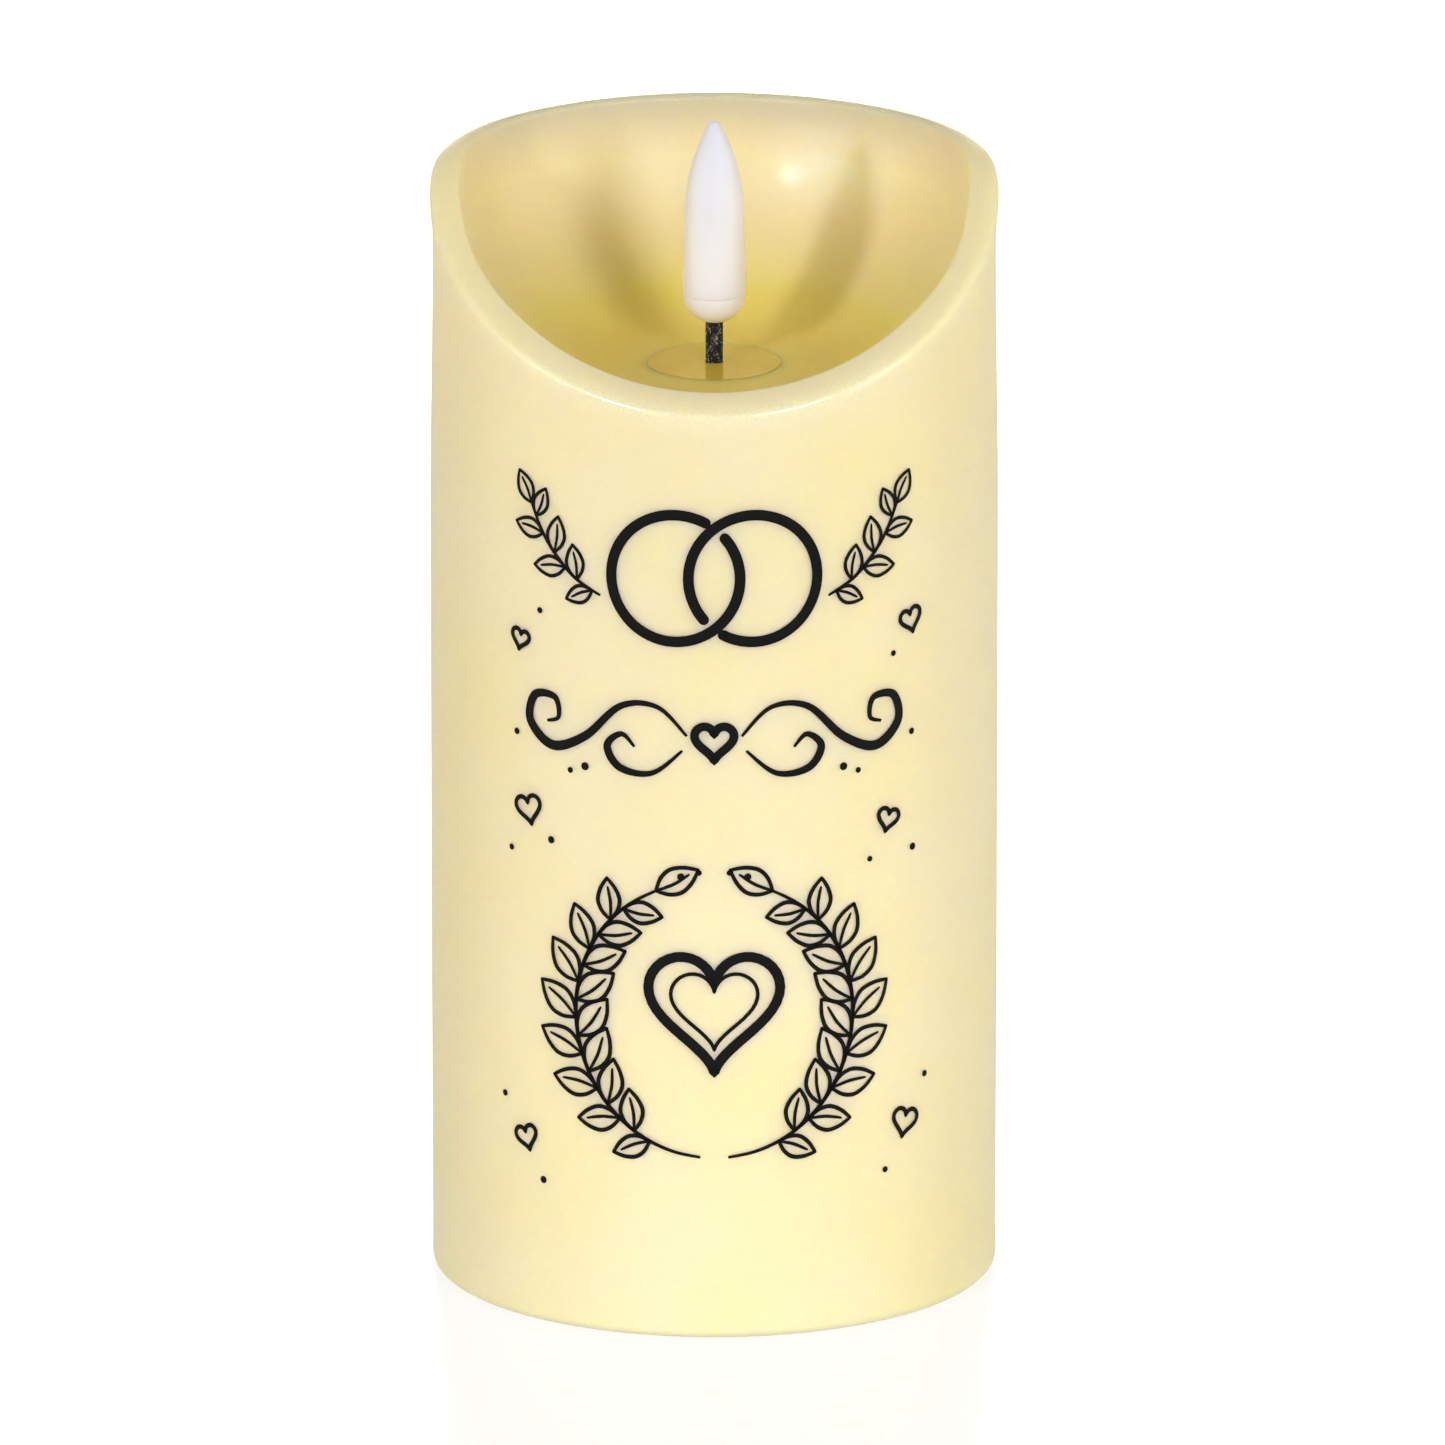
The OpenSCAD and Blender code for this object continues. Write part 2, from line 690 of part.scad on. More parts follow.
module bridge_contact() {
    color(steel_color) union() {
        contact_plate(-holder_in_x, -cell_y - contact_half, cell_y + contact_half);
        contact_bump(-contact_x, cell_y, -1);
    }
}

module bridge_spring() {
    color(steel_color) coil(-contact_x, -cell_y, -1);
}

// Wire from a contact's tab, over the holder and down to the board
module battery_wire(y, pad_x, lift) {
    start = [contact_x + contact_t / 2, y, tab_top_z];
    finish = [pad_x, pad_y, board_top_z];
    leave = start + [0, 0, wire_end];
    land = finish + [0, 0, wire_end];
    path = bezier_path([leave, leave + [0, 0, lift], [pad_x, pad_y, tab_top_z + lift], land], 20);
    tube(concat([start], path, [finish]), wire_r, wire_sides, [1, 1, 0]);
}

module battery_wire_red() {
    color(red_color) battery_wire(-cell_y, 9, 12);
}

module battery_wire_black() {
    color(black_color) battery_wire(cell_y, 6, 9);
}

module switch_pins(r, z0, z1) {
    for (x = [-pin_x, 0, pin_x]) translate([x, pin_y, z0]) cylinder(r = r, h = z1 - z0);
}

module circuit_board() {
    color(board_color) difference() {
        intersection() {
            box(-board_x, board_x, board_y0, board_y1, board_z, board_top_z);
            translate([0, 0, board_z - cut]) cylinder(r = skirt_in_r - board_edge, h = board_t + 2 * cut);
        }
        for (s = [-1, 1])
            translate([s * board_hole_x, board_hole_y, board_z - cut])
                cylinder(r = board_hole_r, h = board_t + 2 * cut);
        switch_pins(pin_hole_r, board_z - cut, board_top_z + cut);
    }
}

module board_screws() {
    color(steel_color) for (s = [-1, 1])
        translate([s * board_hole_x, board_hole_y, board_top_z]) pan_screw(board_screw);
}

module timer_chip() {
    color(black_color) translate([chip_at[0], chip_at[1], board_top_z]) union() {
        box(-chip_x, chip_x, -chip_y, chip_y, chip_low, chip_high);
        for (turn = [0, 180], i = [-1.5:1.5]) rotate(turn) translate([0, i * leg_pitch, 0]) {
            box(leg_x0, leg_x1, -leg_w / 2, leg_w / 2, leg_low, leg_high);
            box(leg_x1 - leg_foot, leg_x1, -leg_w / 2, leg_w / 2, 0, leg_high);
        }
    }
}

module chip_resistors() {
    color(soot_color) for (p = resistor_places)
        translate([p[0], p[1], board_top_z]) union() {
            box(-resistor_half[0], resistor_half[0], -resistor_half[1], resistor_half[1], 0, resistor_h);
            for (turn = [0, 180]) rotate(turn)
                box(resistor_cap[0], resistor_cap[1], -resistor_cap[2], resistor_cap[2], 0, resistor_cap_h);
        }
}

// Pressed can under the board, slotted for the slider
module switch_housing() {
    z0 = board_z - switch_h;
    color(steel_color) union() {
        difference() {
            box(-switch_l / 2, switch_l / 2, switch_y - switch_d / 2, switch_y + switch_d / 2, z0, board_z);
            box(-switch_l / 2 + switch_wall, switch_l / 2 - switch_wall,
                switch_y - switch_d / 2 + switch_wall, switch_y + switch_d / 2 - switch_wall,
                z0 + switch_wall, board_z - switch_roof);
            box(-slot_x, slot_x, switch_y - slot_y, switch_y + slot_y, z0 - cut, z0 + cut);
        }
        switch_pins(pin_r, board_z - cut / 2, board_top_z + pin_show);
    }
}

// Slider at its first position: a shoe inside the can and a ribbed knob in the window
module switch_slider() {
    knob_z = plate_z + knob_inset;
    color(black_color) translate([-switch_step, switch_y, 0]) union() {
        box(-shoe_x, shoe_x, -shoe_y, shoe_y, slider_z, slider_z + shoe_t);
        difference() {
            box(-knob_w / 2, knob_w / 2, -knob_d / 2, knob_d / 2, knob_z, slider_z + shoe_t / 2);
            for (i = [-1:1]) translate([i * knob_w / 4, 0, knob_z])
                box(-knob_groove / 2, knob_groove / 2, -knob_d, knob_d, -cut, knob_groove);
        }
    }
}

wax_pillar();
wick_holder();
wick_sleeve();
lamp_cup();
lamp_shell();
lamp_led();
lamp_wire_red();
lamp_wire_black();
base_cap();
battery_holder();
holder_screws();
battery_door();
battery_cell_front();
battery_cell_rear();
positive_contact();
negative_contact();
negative_spring();
bridge_contact();
bridge_spring();
battery_wire_red();
battery_wire_black();
circuit_board();
board_screws();
timer_chip();
chip_resistors();
switch_housing();
switch_slider();
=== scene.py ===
"""Flameless pillar candle: wax, lamp, wick and print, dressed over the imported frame."""

import math

import bmesh
import bpy
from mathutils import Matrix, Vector, noise


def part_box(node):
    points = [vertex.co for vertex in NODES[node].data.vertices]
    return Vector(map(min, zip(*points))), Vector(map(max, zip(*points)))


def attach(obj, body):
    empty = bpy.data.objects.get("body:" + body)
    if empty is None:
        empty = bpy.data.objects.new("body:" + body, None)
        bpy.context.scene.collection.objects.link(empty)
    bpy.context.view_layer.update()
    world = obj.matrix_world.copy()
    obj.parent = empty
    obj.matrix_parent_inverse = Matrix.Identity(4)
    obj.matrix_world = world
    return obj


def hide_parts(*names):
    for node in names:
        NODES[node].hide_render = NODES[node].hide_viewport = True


bl_info = {
    "name": "Flameless Pillar Candle",
    "version": (1, 0, 0),
    "blender": (4, 5, 0),
    "location": "3D View > Sidebar > Candle",
    "description": "Builds the wax, lamp, print and stage of a battery pillar candle",
    "category": "Object",
}

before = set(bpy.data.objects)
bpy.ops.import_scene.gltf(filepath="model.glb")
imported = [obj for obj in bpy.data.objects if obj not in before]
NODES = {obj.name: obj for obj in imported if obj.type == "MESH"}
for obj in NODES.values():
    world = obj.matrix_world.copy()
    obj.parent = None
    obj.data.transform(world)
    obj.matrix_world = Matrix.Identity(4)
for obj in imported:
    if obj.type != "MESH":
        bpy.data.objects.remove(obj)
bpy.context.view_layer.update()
MM = 0.001

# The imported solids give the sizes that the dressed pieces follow.
WAX_LOW, WAX_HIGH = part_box("wax_pillar")
CUP_LOW, CUP_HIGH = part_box("lamp_cup")
SHELL_LOW, SHELL_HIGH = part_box("lamp_shell")
WICK_LOW, WICK_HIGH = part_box("wick_sleeve")

LIP_RADIUS = WAX_HIGH.x
FLOOR_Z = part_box("wick_holder")[1].z
BASE_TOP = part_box("base_cap")[1].z
SEAM_Z = SHELL_LOW.z
LAMP_RADIUS = SHELL_HIGH.x
DISC_RADIUS = 8.75 * MM
CEILING_Z = FLOOR_Z - 6 * MM

# How finely the pieces are divided
WAX_SEGMENTS = 192
WALL_STEPS = 30
BOWL_STEPS = 30
FLOOR_STEPS = 7
EDGE_STEPS = 7
LAMP_SEGMENTS = 72
SHELL_STEPS = 8
CUP_STEPS = 16
WICK_SEGMENTS = 40
WICK_STEPS = 90
RING_STEPS = 84
HEART_STEPS = 64
DOT_SIDES = 14


def tint(hex_code):
    """Linear colour of an sRGB hex code."""
    parts = [int(hex_code[i : i + 2], 16) / 255 for i in (0, 2, 4)]
    return tuple(p / 12.92 if p <= 0.04045 else ((p + 0.055) / 1.055) ** 2.4 for p in parts)


def smooth(low, high, value):
    """0 below low, 1 above high, eased between."""
    t = min(max((value - low) / (high - low), 0), 1)
    return t * t * (3 - 2 * t)


# Sizes and colours a user would change


def colour_setting(name, about, hex_code):
    """A colour that a user can pick."""
    return bpy.props.FloatVectorProperty(
        name=name, description=about, subtype="COLOR", size=3, min=0, max=1, default=tint(hex_code))


def length_setting(name, about, size):
    """A length that a user can set, in metres."""
    return bpy.props.FloatProperty(name=name, description=about, unit="LENGTH", default=size)


def power_setting(name, about, watts):
    """A light's power that a user can set."""
    return bpy.props.FloatProperty(name=name, description=about, subtype="POWER", default=watts)


def number_setting(name, about, value):
    """A plain number that a user can set."""
    return bpy.props.FloatProperty(name=name, description=about, default=value)


class WaxLook(bpy.types.PropertyGroup):
    """Sizes and colours of the wax pillar."""

    colour: colour_setting("Wax colour", "Colour of the wax in even light", "FAE9BA")
    # Deep wax colour: random clouding, and painted shade that deepens the inside of the bowl
    shade: colour_setting("Deep wax colour", "Colour where the wax is thicker or warmer", "F4E373")
    # Thin wax colour: painted sheen, a paler rim standing in for sheen and light through the thin wax
    pale: colour_setting("Thin wax colour", "Colour where the wax is thin, along the rim", "FFEBC4")
    # Floor colour: painted light, a brighter golden floor standing in for light coming through the wax
    floor: colour_setting("Floor colour", "Colour of the bowl's floor, where the wax is thickest", "FFDD70")
    # Painted highlight: a pale patch on the bowl's back wall, where the key light's reflection falls
    painted_highlight: colour_setting("Rubbed colour", "Colour of the rubbed patch on the bowl's back wall", "FFF6E0")
    # Painted shade and painted grey reflection on the thin rim at the back
    painted_rim_shade: colour_setting("Dull rim colour", "Colour of the thin rim at the back", "BBBCAE")
    skin: length_setting(
        "Ink room", "How far the wall stands in so that the ink stays in the pillar's width", 0.1 * MM)
    neck: length_setting("Neck", "How far the wall draws in towards the rim", 0.3 * MM)
    tuck: length_setting("Tuck", "How far the wall draws in towards the foot", 0.15 * MM)
    bead: length_setting("Lip bead", "How far the lip stands proud of the neck", 0.3 * MM)
    slope: number_setting("Front slope", "Rise over run of the sloping front of the rim", 0.592)
    break_y: length_setting("Rim break", "How far behind the axis the slope meets the level rim", 2.7 * MM)
    ease: length_setting("Rim ease", "Length over which the break is rounded", 4.0 * MM)
    wall: length_setting("Wall", "Thickness of the wax wall", 4.2 * MM)
    back_wall: length_setting(
        "Back wall", "Thickness of the wall at the back rim, where the bowl is widest", 2.0 * MM)
    flat: length_setting("Flat floor", "Radius of the flat middle of the bowl's floor", 15 * MM)
    edge: length_setting("Front outer edge", "Radius of the lip's outer edge at the front", 0.9 * MM)
    crisp: length_setting("Front inner edge", "Radius of the lip's inner edge at the front", 0.45 * MM)
    soft: length_setting("Side edges", "Largest radius of the lip's edges at the sides", 1.7 * MM)
    wobble: length_setting("Unevenness", "Height of the slow waves in the poured wall", 0.05 * MM)


class LampLook(bpy.types.PropertyGroup):
    """Sizes and colours of the lamp and wick."""

    colour: colour_setting("Lamp colour", "Colour of the milky mouldings", "FEFEFF")
    # Painted shade: the colour the shell greys to towards its tip
    tip_shade_colour: colour_setting("Tip colour", "Colour of the shell's solid tip", "DCDEE6")
    wick_colour: colour_setting("Wick colour", "Colour of the wick sleeve", "0A0A0B")
    dust_colour: colour_setting("Dust colour", "Colour of the dust in the wick's scratches", "C4C4BC")
    seam: length_setting("Seam", "Width of the line between cup and shell", 0.04 * MM)


class PrintLook(bpy.types.PropertyGroup):
    """Strokes and colour of the line drawing on the front."""

    colour: colour_setting("Ink colour", "Colour of the printed lines", "040404")
    dry_colour: colour_setting("Dry ink colour", "Colour where the ink lies thin", "0E0D0C")
    bold: length_setting("Bold stroke", "Width of the main lines", 1.3 * MM)
    fine: length_setting("Fine stroke", "Width of the thin lines", 0.5 * MM)
    film: length_setting("Ink film", "Thickness of the ink", 0.03 * MM)


class StageLook(bpy.types.PropertyGroup):
    """Camera, lights and floor."""

    camera_back: length_setting("Camera distance", "Level distance from the candle's axis", 4.8039)
    camera_up: length_setting("Camera height", "Height above the floor", 1.4603)
    camera_right: length_setting("Camera offset", "Distance to the right of the axis", 1.08 * MM)
    pitch: bpy.props.FloatProperty(
        name="Camera pitch", description="How far the camera looks down", subtype="ANGLE",
        default=math.radians(16.1))
    lens: number_setting("Lens", "Focal length in millimetres", 944.8)
    key_power: power_setting("Key power", "Power of each front light", 5.3)
    side_power: power_setting("Side power", "Power of the soft light on the right", 6.9)
    table_power: power_setting("Table power", "Power of the light through the table in front", 0.13)
    level: number_setting("Level fill", "Brightness of the surrounding light at eye level", 0.05)
    above: number_setting("Overhead fill", "Brightness of the surrounding light overhead", 0.46)
    below: number_setting("Table fill", "Brightness of the light from the table", 0.36)


# Materials


class Value:
    """A socket in a node tree; arithmetic on it adds Math nodes."""

    def __init__(self, nodes, socket):
        self.nodes = nodes
        self.socket = socket

    def __add__(self, other):
        return self.nodes.calc("ADD", self, other)

    def __radd__(self, other):
        return self.nodes.calc("ADD", other, self)

    def __sub__(self, other):
        return self.nodes.calc("SUBTRACT", self, other)

    def __rsub__(self, other):
        return self.nodes.calc("SUBTRACT", other, self)

    def __mul__(self, other):
        return self.nodes.calc("MULTIPLY", self, other)

    def __rmul__(self, other):
        return self.nodes.calc("MULTIPLY", other, self)

    def __gt__(self, other):
        return self.nodes.calc("GREATER_THAN", self, other)

    def __lt__(self, other):
        return self.nodes.calc("LESS_THAN", self, other)


class Nodes:
    """An emptied node tree, and what can be added to it."""

    def __init__(self, tree):
        self.tree = tree
        self.tree.nodes.clear()

    def node(self, kind, settings=None, inputs=None, output=0):
        """Adds a node, sets its settings and then its sockets, and gives one output."""
        made = self.tree.nodes.new(kind)
        for key, value in (settings or {}).items():
            setattr(made, key, value)
        for key, value in (inputs or {}).items():
            socket = made.inputs[key]
            if isinstance(value, Value):
                self.tree.links.new(value.socket, socket)
            elif hasattr(socket.default_value, "__len__") and len(socket.default_value) == 4 and len(value) == 3:
                socket.default_value = (*value, 1)
            else:
                socket.default_value = value
        return Value(self, made.outputs[output])

    def calc(self, operation, *values):
        """One Math node."""
        return self.node("ShaderNodeMath", {"operation": operation}, dict(enumerate(values)))

    def band(self, value, low, high, first=0.0, last=1.0):
        """Maps a stretch of a value onto another range, held at its ends."""
        return self.node("ShaderNodeMapRange", {"clamp": True},
                         {"Value": value, "From Min": low, "From Max": high, "To Min": first, "To Max": last})

    def mix(self, share, first, second):
        """Mixes two colours."""
        return self.node("ShaderNodeMix", {"data_type": "RGBA"}, {0: share, 6: first, 7: second}, 2)

    def end(self, shader, kind):
        """Joins a shader to the tree's output."""
        out = self.tree.nodes.new(kind)
        self.tree.links.new(shader.socket, out.inputs["Surface"])


class Finish(Nodes):
    """One procedural material on Object coordinates."""

    def __init__(self, name):
        self.material = bpy.data.materials.new(name)
        self.material.use_nodes = True
        super().__init__(self.material.node_tree)
        self.place = self.node("ShaderNodeTexCoord", output="Object")

    def noise(self, size, detail=3.0, rough=0.5, squash=(1, 1, 1)):
        """Noise whose features are about size metres across."""
        spot = self.node("ShaderNodeMapping", {"vector_type": "POINT"}, {"Vector": self.place, "Scale": squash})
        return self.node("ShaderNodeTexNoise", None,
                         {"Vector": spot, "Scale": 1 / size, "Detail": detail, "Roughness": rough}, "Fac")

    def spread(self, grain, low=0.0, high=1.0):
        """Spreads the middle of a noise over a range."""
        return self.band(grain, 0.3, 0.7, low, high)

    def bump(self, height, distance, strength=1.0, under=None):
        """Turns a height of 0 to 1 into a normal."""
        inputs = {"Height": height, "Distance": distance, "Strength": strength}
        if under:
            inputs["Normal"] = under
        return self.node("ShaderNodeBump", None, inputs)

    def axis(self, letter):
        """One coordinate of the place, in metres."""
        return self.node("ShaderNodeSeparateXYZ", None, {0: self.place}, letter)

    def surface(self, **inputs):
        """Ends the material in one Principled shader."""
        names = {key.replace("_", " ").title(): value for key, value in inputs.items()}
        proper = {"Ior": "IOR", "Coat Ior": "Coat IOR", "Specular Level": "Specular IOR Level"}
        names = {proper.get(key, key): value for key, value in names.items()}
        return self.close(self.node("ShaderNodeBsdfPrincipled", None, names))

    def close(self, shader):
        """Ends the material in a shader, and gives the material."""
        self.end(shader, "ShaderNodeOutputMaterial")
        return self.material


def wax_finish(look):
    """Ivory paraffin: slow clouding, painted shade deepening the bowl, a painted glow brightening the bowl's floor,
    painted sheen paling the rim, painted shade greying the back rim, a painted highlight on the back wall, a polished
    lip, fine pits, light bleeding under the skin.
    """
    f = Finish("ivory_wax")
    cloud = f.noise(22 * MM, 3, 0.5)
    waves = f.noise(7 * MM, 2, 0.5)
    grain = f.noise(0.9 * MM, 2, 0.5)
    pits = f.noise(0.28 * MM, 2, 0.6)
    x, y, z = f.axis("X"), f.axis("Y"), f.axis("Z")
    radius = f.calc("SQRT", x * x + y * y)
    back = y - look.break_y
    rim = WAX_HIGH.z + look.slope / 2 * (back - f.calc("SQRT", back * back + look.ease ** 2))
    height = z - rim
    over_floor = z > FLOOR_Z - 1 * MM

    # Where each colour goes, from 0 to 1: the bowl's painted shade, the floor's painted glow, the rim's painted sheen
    # and shade, and the back wall's painted highlight
    # Painted shade: a deeper, more golden colour inside the bowl, where shade falls
    bowl = f.band(radius, 34.5 * MM, 24 * MM) * over_floor
    # Painted light: the bowl's floor made brighter, standing in for light through the wax
    floor = f.band(radius, 26 * MM, 17 * MM) * over_floor
    # Painted sheen: the wax paler towards the rim
    thin = f.band(height, -8 * MM, -0.5 * MM)
    # Painted shade: the back rim greyed, standing in for its shade and grey reflection
    painted_rim_shade = thin * f.band(y, 4 * MM, 24 * MM) * (radius < 37.1 * MM)
    lip = f.band(height, -2.4 * MM, -0.8 * MM) * f.band(radius, 35.6 * MM, 36.4 * MM)
    lip = lip * f.band(x * x, (27 * MM) ** 2, (19 * MM) ** 2) * f.band(pits, 0.38, 0.54, 0.2, 1.0)
    # Painted highlight on the back wall; the same patch also gets a glossier coat
    painted_highlight = f.band(x, 6 * MM, 13 * MM) * f.band(x, 25 * MM, 16 * MM) * (y > 0.0) * (radius < 36.4 * MM)
    painted_highlight = painted_highlight * f.band(height, -15 * MM, -8 * MM) * f.band(height, -1.5 * MM, -5 * MM)
    painted_highlight = painted_highlight * f.band(grain, 0.35, 0.62, 0.3, 1.0)

    # Random clouding, plus the bowl's painted shade
    deep = f.band(cloud, 0.38, 0.72, 0.0, 0.25) + bowl * 0.9
    colour = tuple(look.colour)
    # Mixes painted shade, painted sheen, painted glow, a painted highlight and painted rim shade into the wax's
    # colour
    for share, second in ((deep, look.shade), (thin * 0.55, look.pale), (floor, look.floor),
                          (painted_highlight * 0.6, look.painted_highlight), (painted_rim_shade * 0.7, look.painted_rim_shade)):
        colour = f.mix(share, colour, tuple(second))
    normal = f.bump(pits, 0.014 * MM, 0.8, f.bump(waves, 0.02 * MM, 0.5))
    return f.surface(base_color=colour, roughness=f.spread(grain, 0.46, 0.54), normal=normal, ior=1.5,
                     subsurface_weight=1.0, subsurface_radius=(1.0, 1.08, 0.25), subsurface_scale=3.5 * MM,
                     specular_level=0.6, coat_weight=0.01 + lip * 0.98 + painted_highlight * 0.3, coat_roughness=0.2,
                     coat_ior=1.9)


def plug_finish():
    """Moulded disc in the floor, glossier and a little deeper than the wax."""
    f = Finish("floor_disc")
    cloud = f.noise(5 * MM, 3, 0.5)
    colour = f.mix(f.band(cloud, 0.35, 0.7), tint("E4C650"), tint("DEBD46"))
    normal = f.bump(f.noise(0.6 * MM, 2), 0.01 * MM, 0.5)
    return f.surface(base_color=colour, roughness=f.spread(cloud, 0.1, 0.18), normal=normal,
                     subsurface_weight=0.3, subsurface_radius=(1.0, 0.62, 0.22), subsurface_scale=1.5 * MM)


def lamp_finish(look):
    """Milky white moulding with faint flow marks, and painted shade that greys it towards the tip."""
    f = Finish("milky_plastic")
    flow = f.noise(4 * MM, 3, 0.5, (1, 1, 0.25))
    # Painted shade greys the shell towards its tip; flow marks add random tone
    flow_and_tip_shade = f.band(f.axis("Z"), SEAM_Z + 6 * MM, SHELL_HIGH.z) * 0.8 + f.band(flow, 0.35, 0.7, 0, 0.2)
    colour = f.mix(flow_and_tip_shade, tuple(look.colour), tuple(look.tip_shade_colour))
    normal = f.bump(f.noise(0.35 * MM, 2), 0.006 * MM, 0.5)
    return f.surface(base_color=colour, roughness=f.spread(flow, 0.5, 0.58), normal=normal, ior=1.45,
                     subsurface_weight=0.1, subsurface_radius=(1.0, 1.0, 1.0), subsurface_scale=2 * MM)


def wick_finish(look):
    """Black sleeve, scuffed lengthways, with pale dust in the scratches."""
    f = Finish("scuffed_wick")
    scratch = f.noise(0.3 * MM, 4, 0.65, (1, 1, 0.35))
    fleck = f.noise(0.3 * MM, 3, 0.7)
    worn = f.band(scratch, 0.49, 0.6) * f.band(fleck, 0.46, 0.58)
    colour = f.mix(worn * 0.6, tuple(look.wick_colour), tuple(look.dust_colour))
    return f.surface(base_color=colour, roughness=f.spread(fleck, 0.45, 0.62), specular_level=0.25,
                     normal=f.bump(scratch, 0.1 * MM, 0.8))


def ink_finish(look):
    """Screen-printed black with a thin, slightly dry lay."""
    f = Finish("print_ink")
    dry = f.noise(0.5 * MM, 3, 0.6)
    colour = f.mix(f.band(dry, 0.55, 0.8, 0, 0.5), tuple(look.colour), tuple(look.dry_colour))
    return f.surface(base_color=colour, roughness=f.spread(dry, 0.55, 0.7), specular_level=0.1,
                     normal=f.bump(dry, 0.008 * MM, 0.5))


def moulding_finish(name, pale, deep, grain=0.35 * MM, rough=(0.42, 0.55)):
    """Fine-grained moulded plastic with softened edges."""
    f = Finish(name)
    cloud = f.noise(9 * MM, 3)
    spark = f.noise(grain, 2, 0.6)
    colour = f.mix(f.band(cloud, 0.35, 0.7, 0, 0.6), tint(pale), tint(deep))
    eased = f.node("ShaderNodeBevel", {"samples": 6}, {"Radius": 0.22 * MM})
    return f.surface(base_color=colour, roughness=f.spread(spark, *rough),
                     normal=f.bump(spark, 0.02 * MM, 0.5, eased))


def metal_finish(name, pale, deep, squash=(1, 1, 1)):
    """Plated steel with drawn lines."""
    f = Finish(name)
    lines = f.noise(0.12 * MM, 3, 0.6, squash)
    stain = f.noise(3 * MM, 3)
    colour = f.mix(f.band(stain, 0.4, 0.75, 0, 0.6), tint(pale), tint(deep))
    return f.surface(base_color=colour, metallic=1.0, roughness=f.spread(lines, 0.2, 0.38),
                     normal=f.bump(lines, 0.006 * MM, 0.4))


def cell_finish():
    """Plain battery sleeve: a dark body with a pale band at the positive end, and bare steel ends."""
    f = Finish("cell_sleeve")
    x, y = f.axis("X"), f.axis("Y")
    along = x * f.calc("SIGN", y) * -1
    cloud = f.noise(6 * MM, 3)
    body = f.mix(f.band(cloud, 0.35, 0.7), tint("2C5A46"), tint("234A3A"))
    band_start, sleeve_start, sleeve_end = 14 * MM, -23.0 * MM, 25.2 * MM
    label = f.mix((along > band_start) * (along < sleeve_end), body, tint("C9A45A"))
    steel = 1 - (along > sleeve_start) * (along < sleeve_end)
    colour = f.mix(steel, label, tint("C9CACB"))
    return f.surface(base_color=colour, metallic=steel, roughness=f.spread(cloud, 0.22, 0.34),
                     normal=f.bump(f.noise(0.5 * MM, 2), 0.01 * MM, 0.4))


def board_finish():
    """Solder mask over faint copper tracks."""
    f = Finish("solder_mask")
    track = f.node("ShaderNodeTexWave", {"wave_type": "BANDS", "bands_direction": "DIAGONAL"},
                   {"Vector": f.place, "Scale": 160.0, "Distortion": 9.0, "Detail": 1.0, "Detail Scale": 0.6}, "Fac")
    line = f.band(track, 0.72, 0.8)
    cloud = f.noise(3 * MM, 3)
    mask = f.mix(f.spread(cloud), tint("1E5B38"), tint("184B2F"))
    colour = f.mix(line * 0.8, mask, tint("3C8A55"))
    return f.surface(base_color=colour, roughness=f.spread(cloud, 0.24, 0.36),
                     normal=f.bump(line, 0.03 * MM, 0.6))


def sheath_finish(name, pale, deep):
    """Soft wire sheath with a drawn sheen."""
    f = Finish(name)
    cloud = f.noise(2.5 * MM, 3)
    colour = f.mix(f.band(cloud, 0.35, 0.7), tint(pale), tint(deep))
    return f.surface(base_color=colour, roughness=f.spread(cloud, 0.34, 0.48),
                     normal=f.bump(f.noise(0.3 * MM, 2), 0.01 * MM, 0.4))


def floor_finish():
    """White table: near white to the camera, with a shadow and a faint mirror image; clear to other rays."""
    f = Finish("white_table")
    grain = f.noise(0.12, 2)
    shade = f.mix(f.spread(grain), (0.86, 0.86, 0.86), (0.85, 0.85, 0.85))
    matt = f.node("ShaderNodeBsdfDiffuse", None, {"Color": shade})
    glow = f.node("ShaderNodeEmission", None, {"Color": (1, 1, 1), "Strength": 1.1})
    gloss = f.node("ShaderNodeBsdfAnisotropic", None, {"Color": (1, 1, 1), "Roughness": 0.22})
    clear = f.node("ShaderNodeBsdfTransparent")
    seen = f.node("ShaderNodeLightPath", output="Is Camera Ray")
    under = f.node("ShaderNodeNewGeometry", output="Backfacing")
    pale = f.node("ShaderNodeMixShader", None, {0: 0.8, 1: matt, 2: glow})
    shiny = f.node("ShaderNodeMixShader", None, {0: 0.12, 1: pale, 2: gloss})
    top = f.node("ShaderNodeMixShader", None, {0: seen, 1: clear, 2: shiny})
    return f.close(f.node("ShaderNodeMixShader", None, {0: under, 1: top, 2: clear}))


def dress(piece, material):
    """Gives a piece one material."""
    piece.data.materials.clear()
    piece.data.materials.append(material)


# Modelling helpers


def deselect_all():
    """Leaves nothing selected, in object mode."""
    if bpy.context.object and bpy.context.object.mode != "OBJECT":
        bpy.ops.object.mode_set(mode="OBJECT")
    bpy.ops.object.select_all(action="DESELECT")


def select_only(piece):
    """Leaves one piece selected and active."""
    deselect_all()
    piece.select_set(True)
    bpy.context.view_layer.objects.active = piece


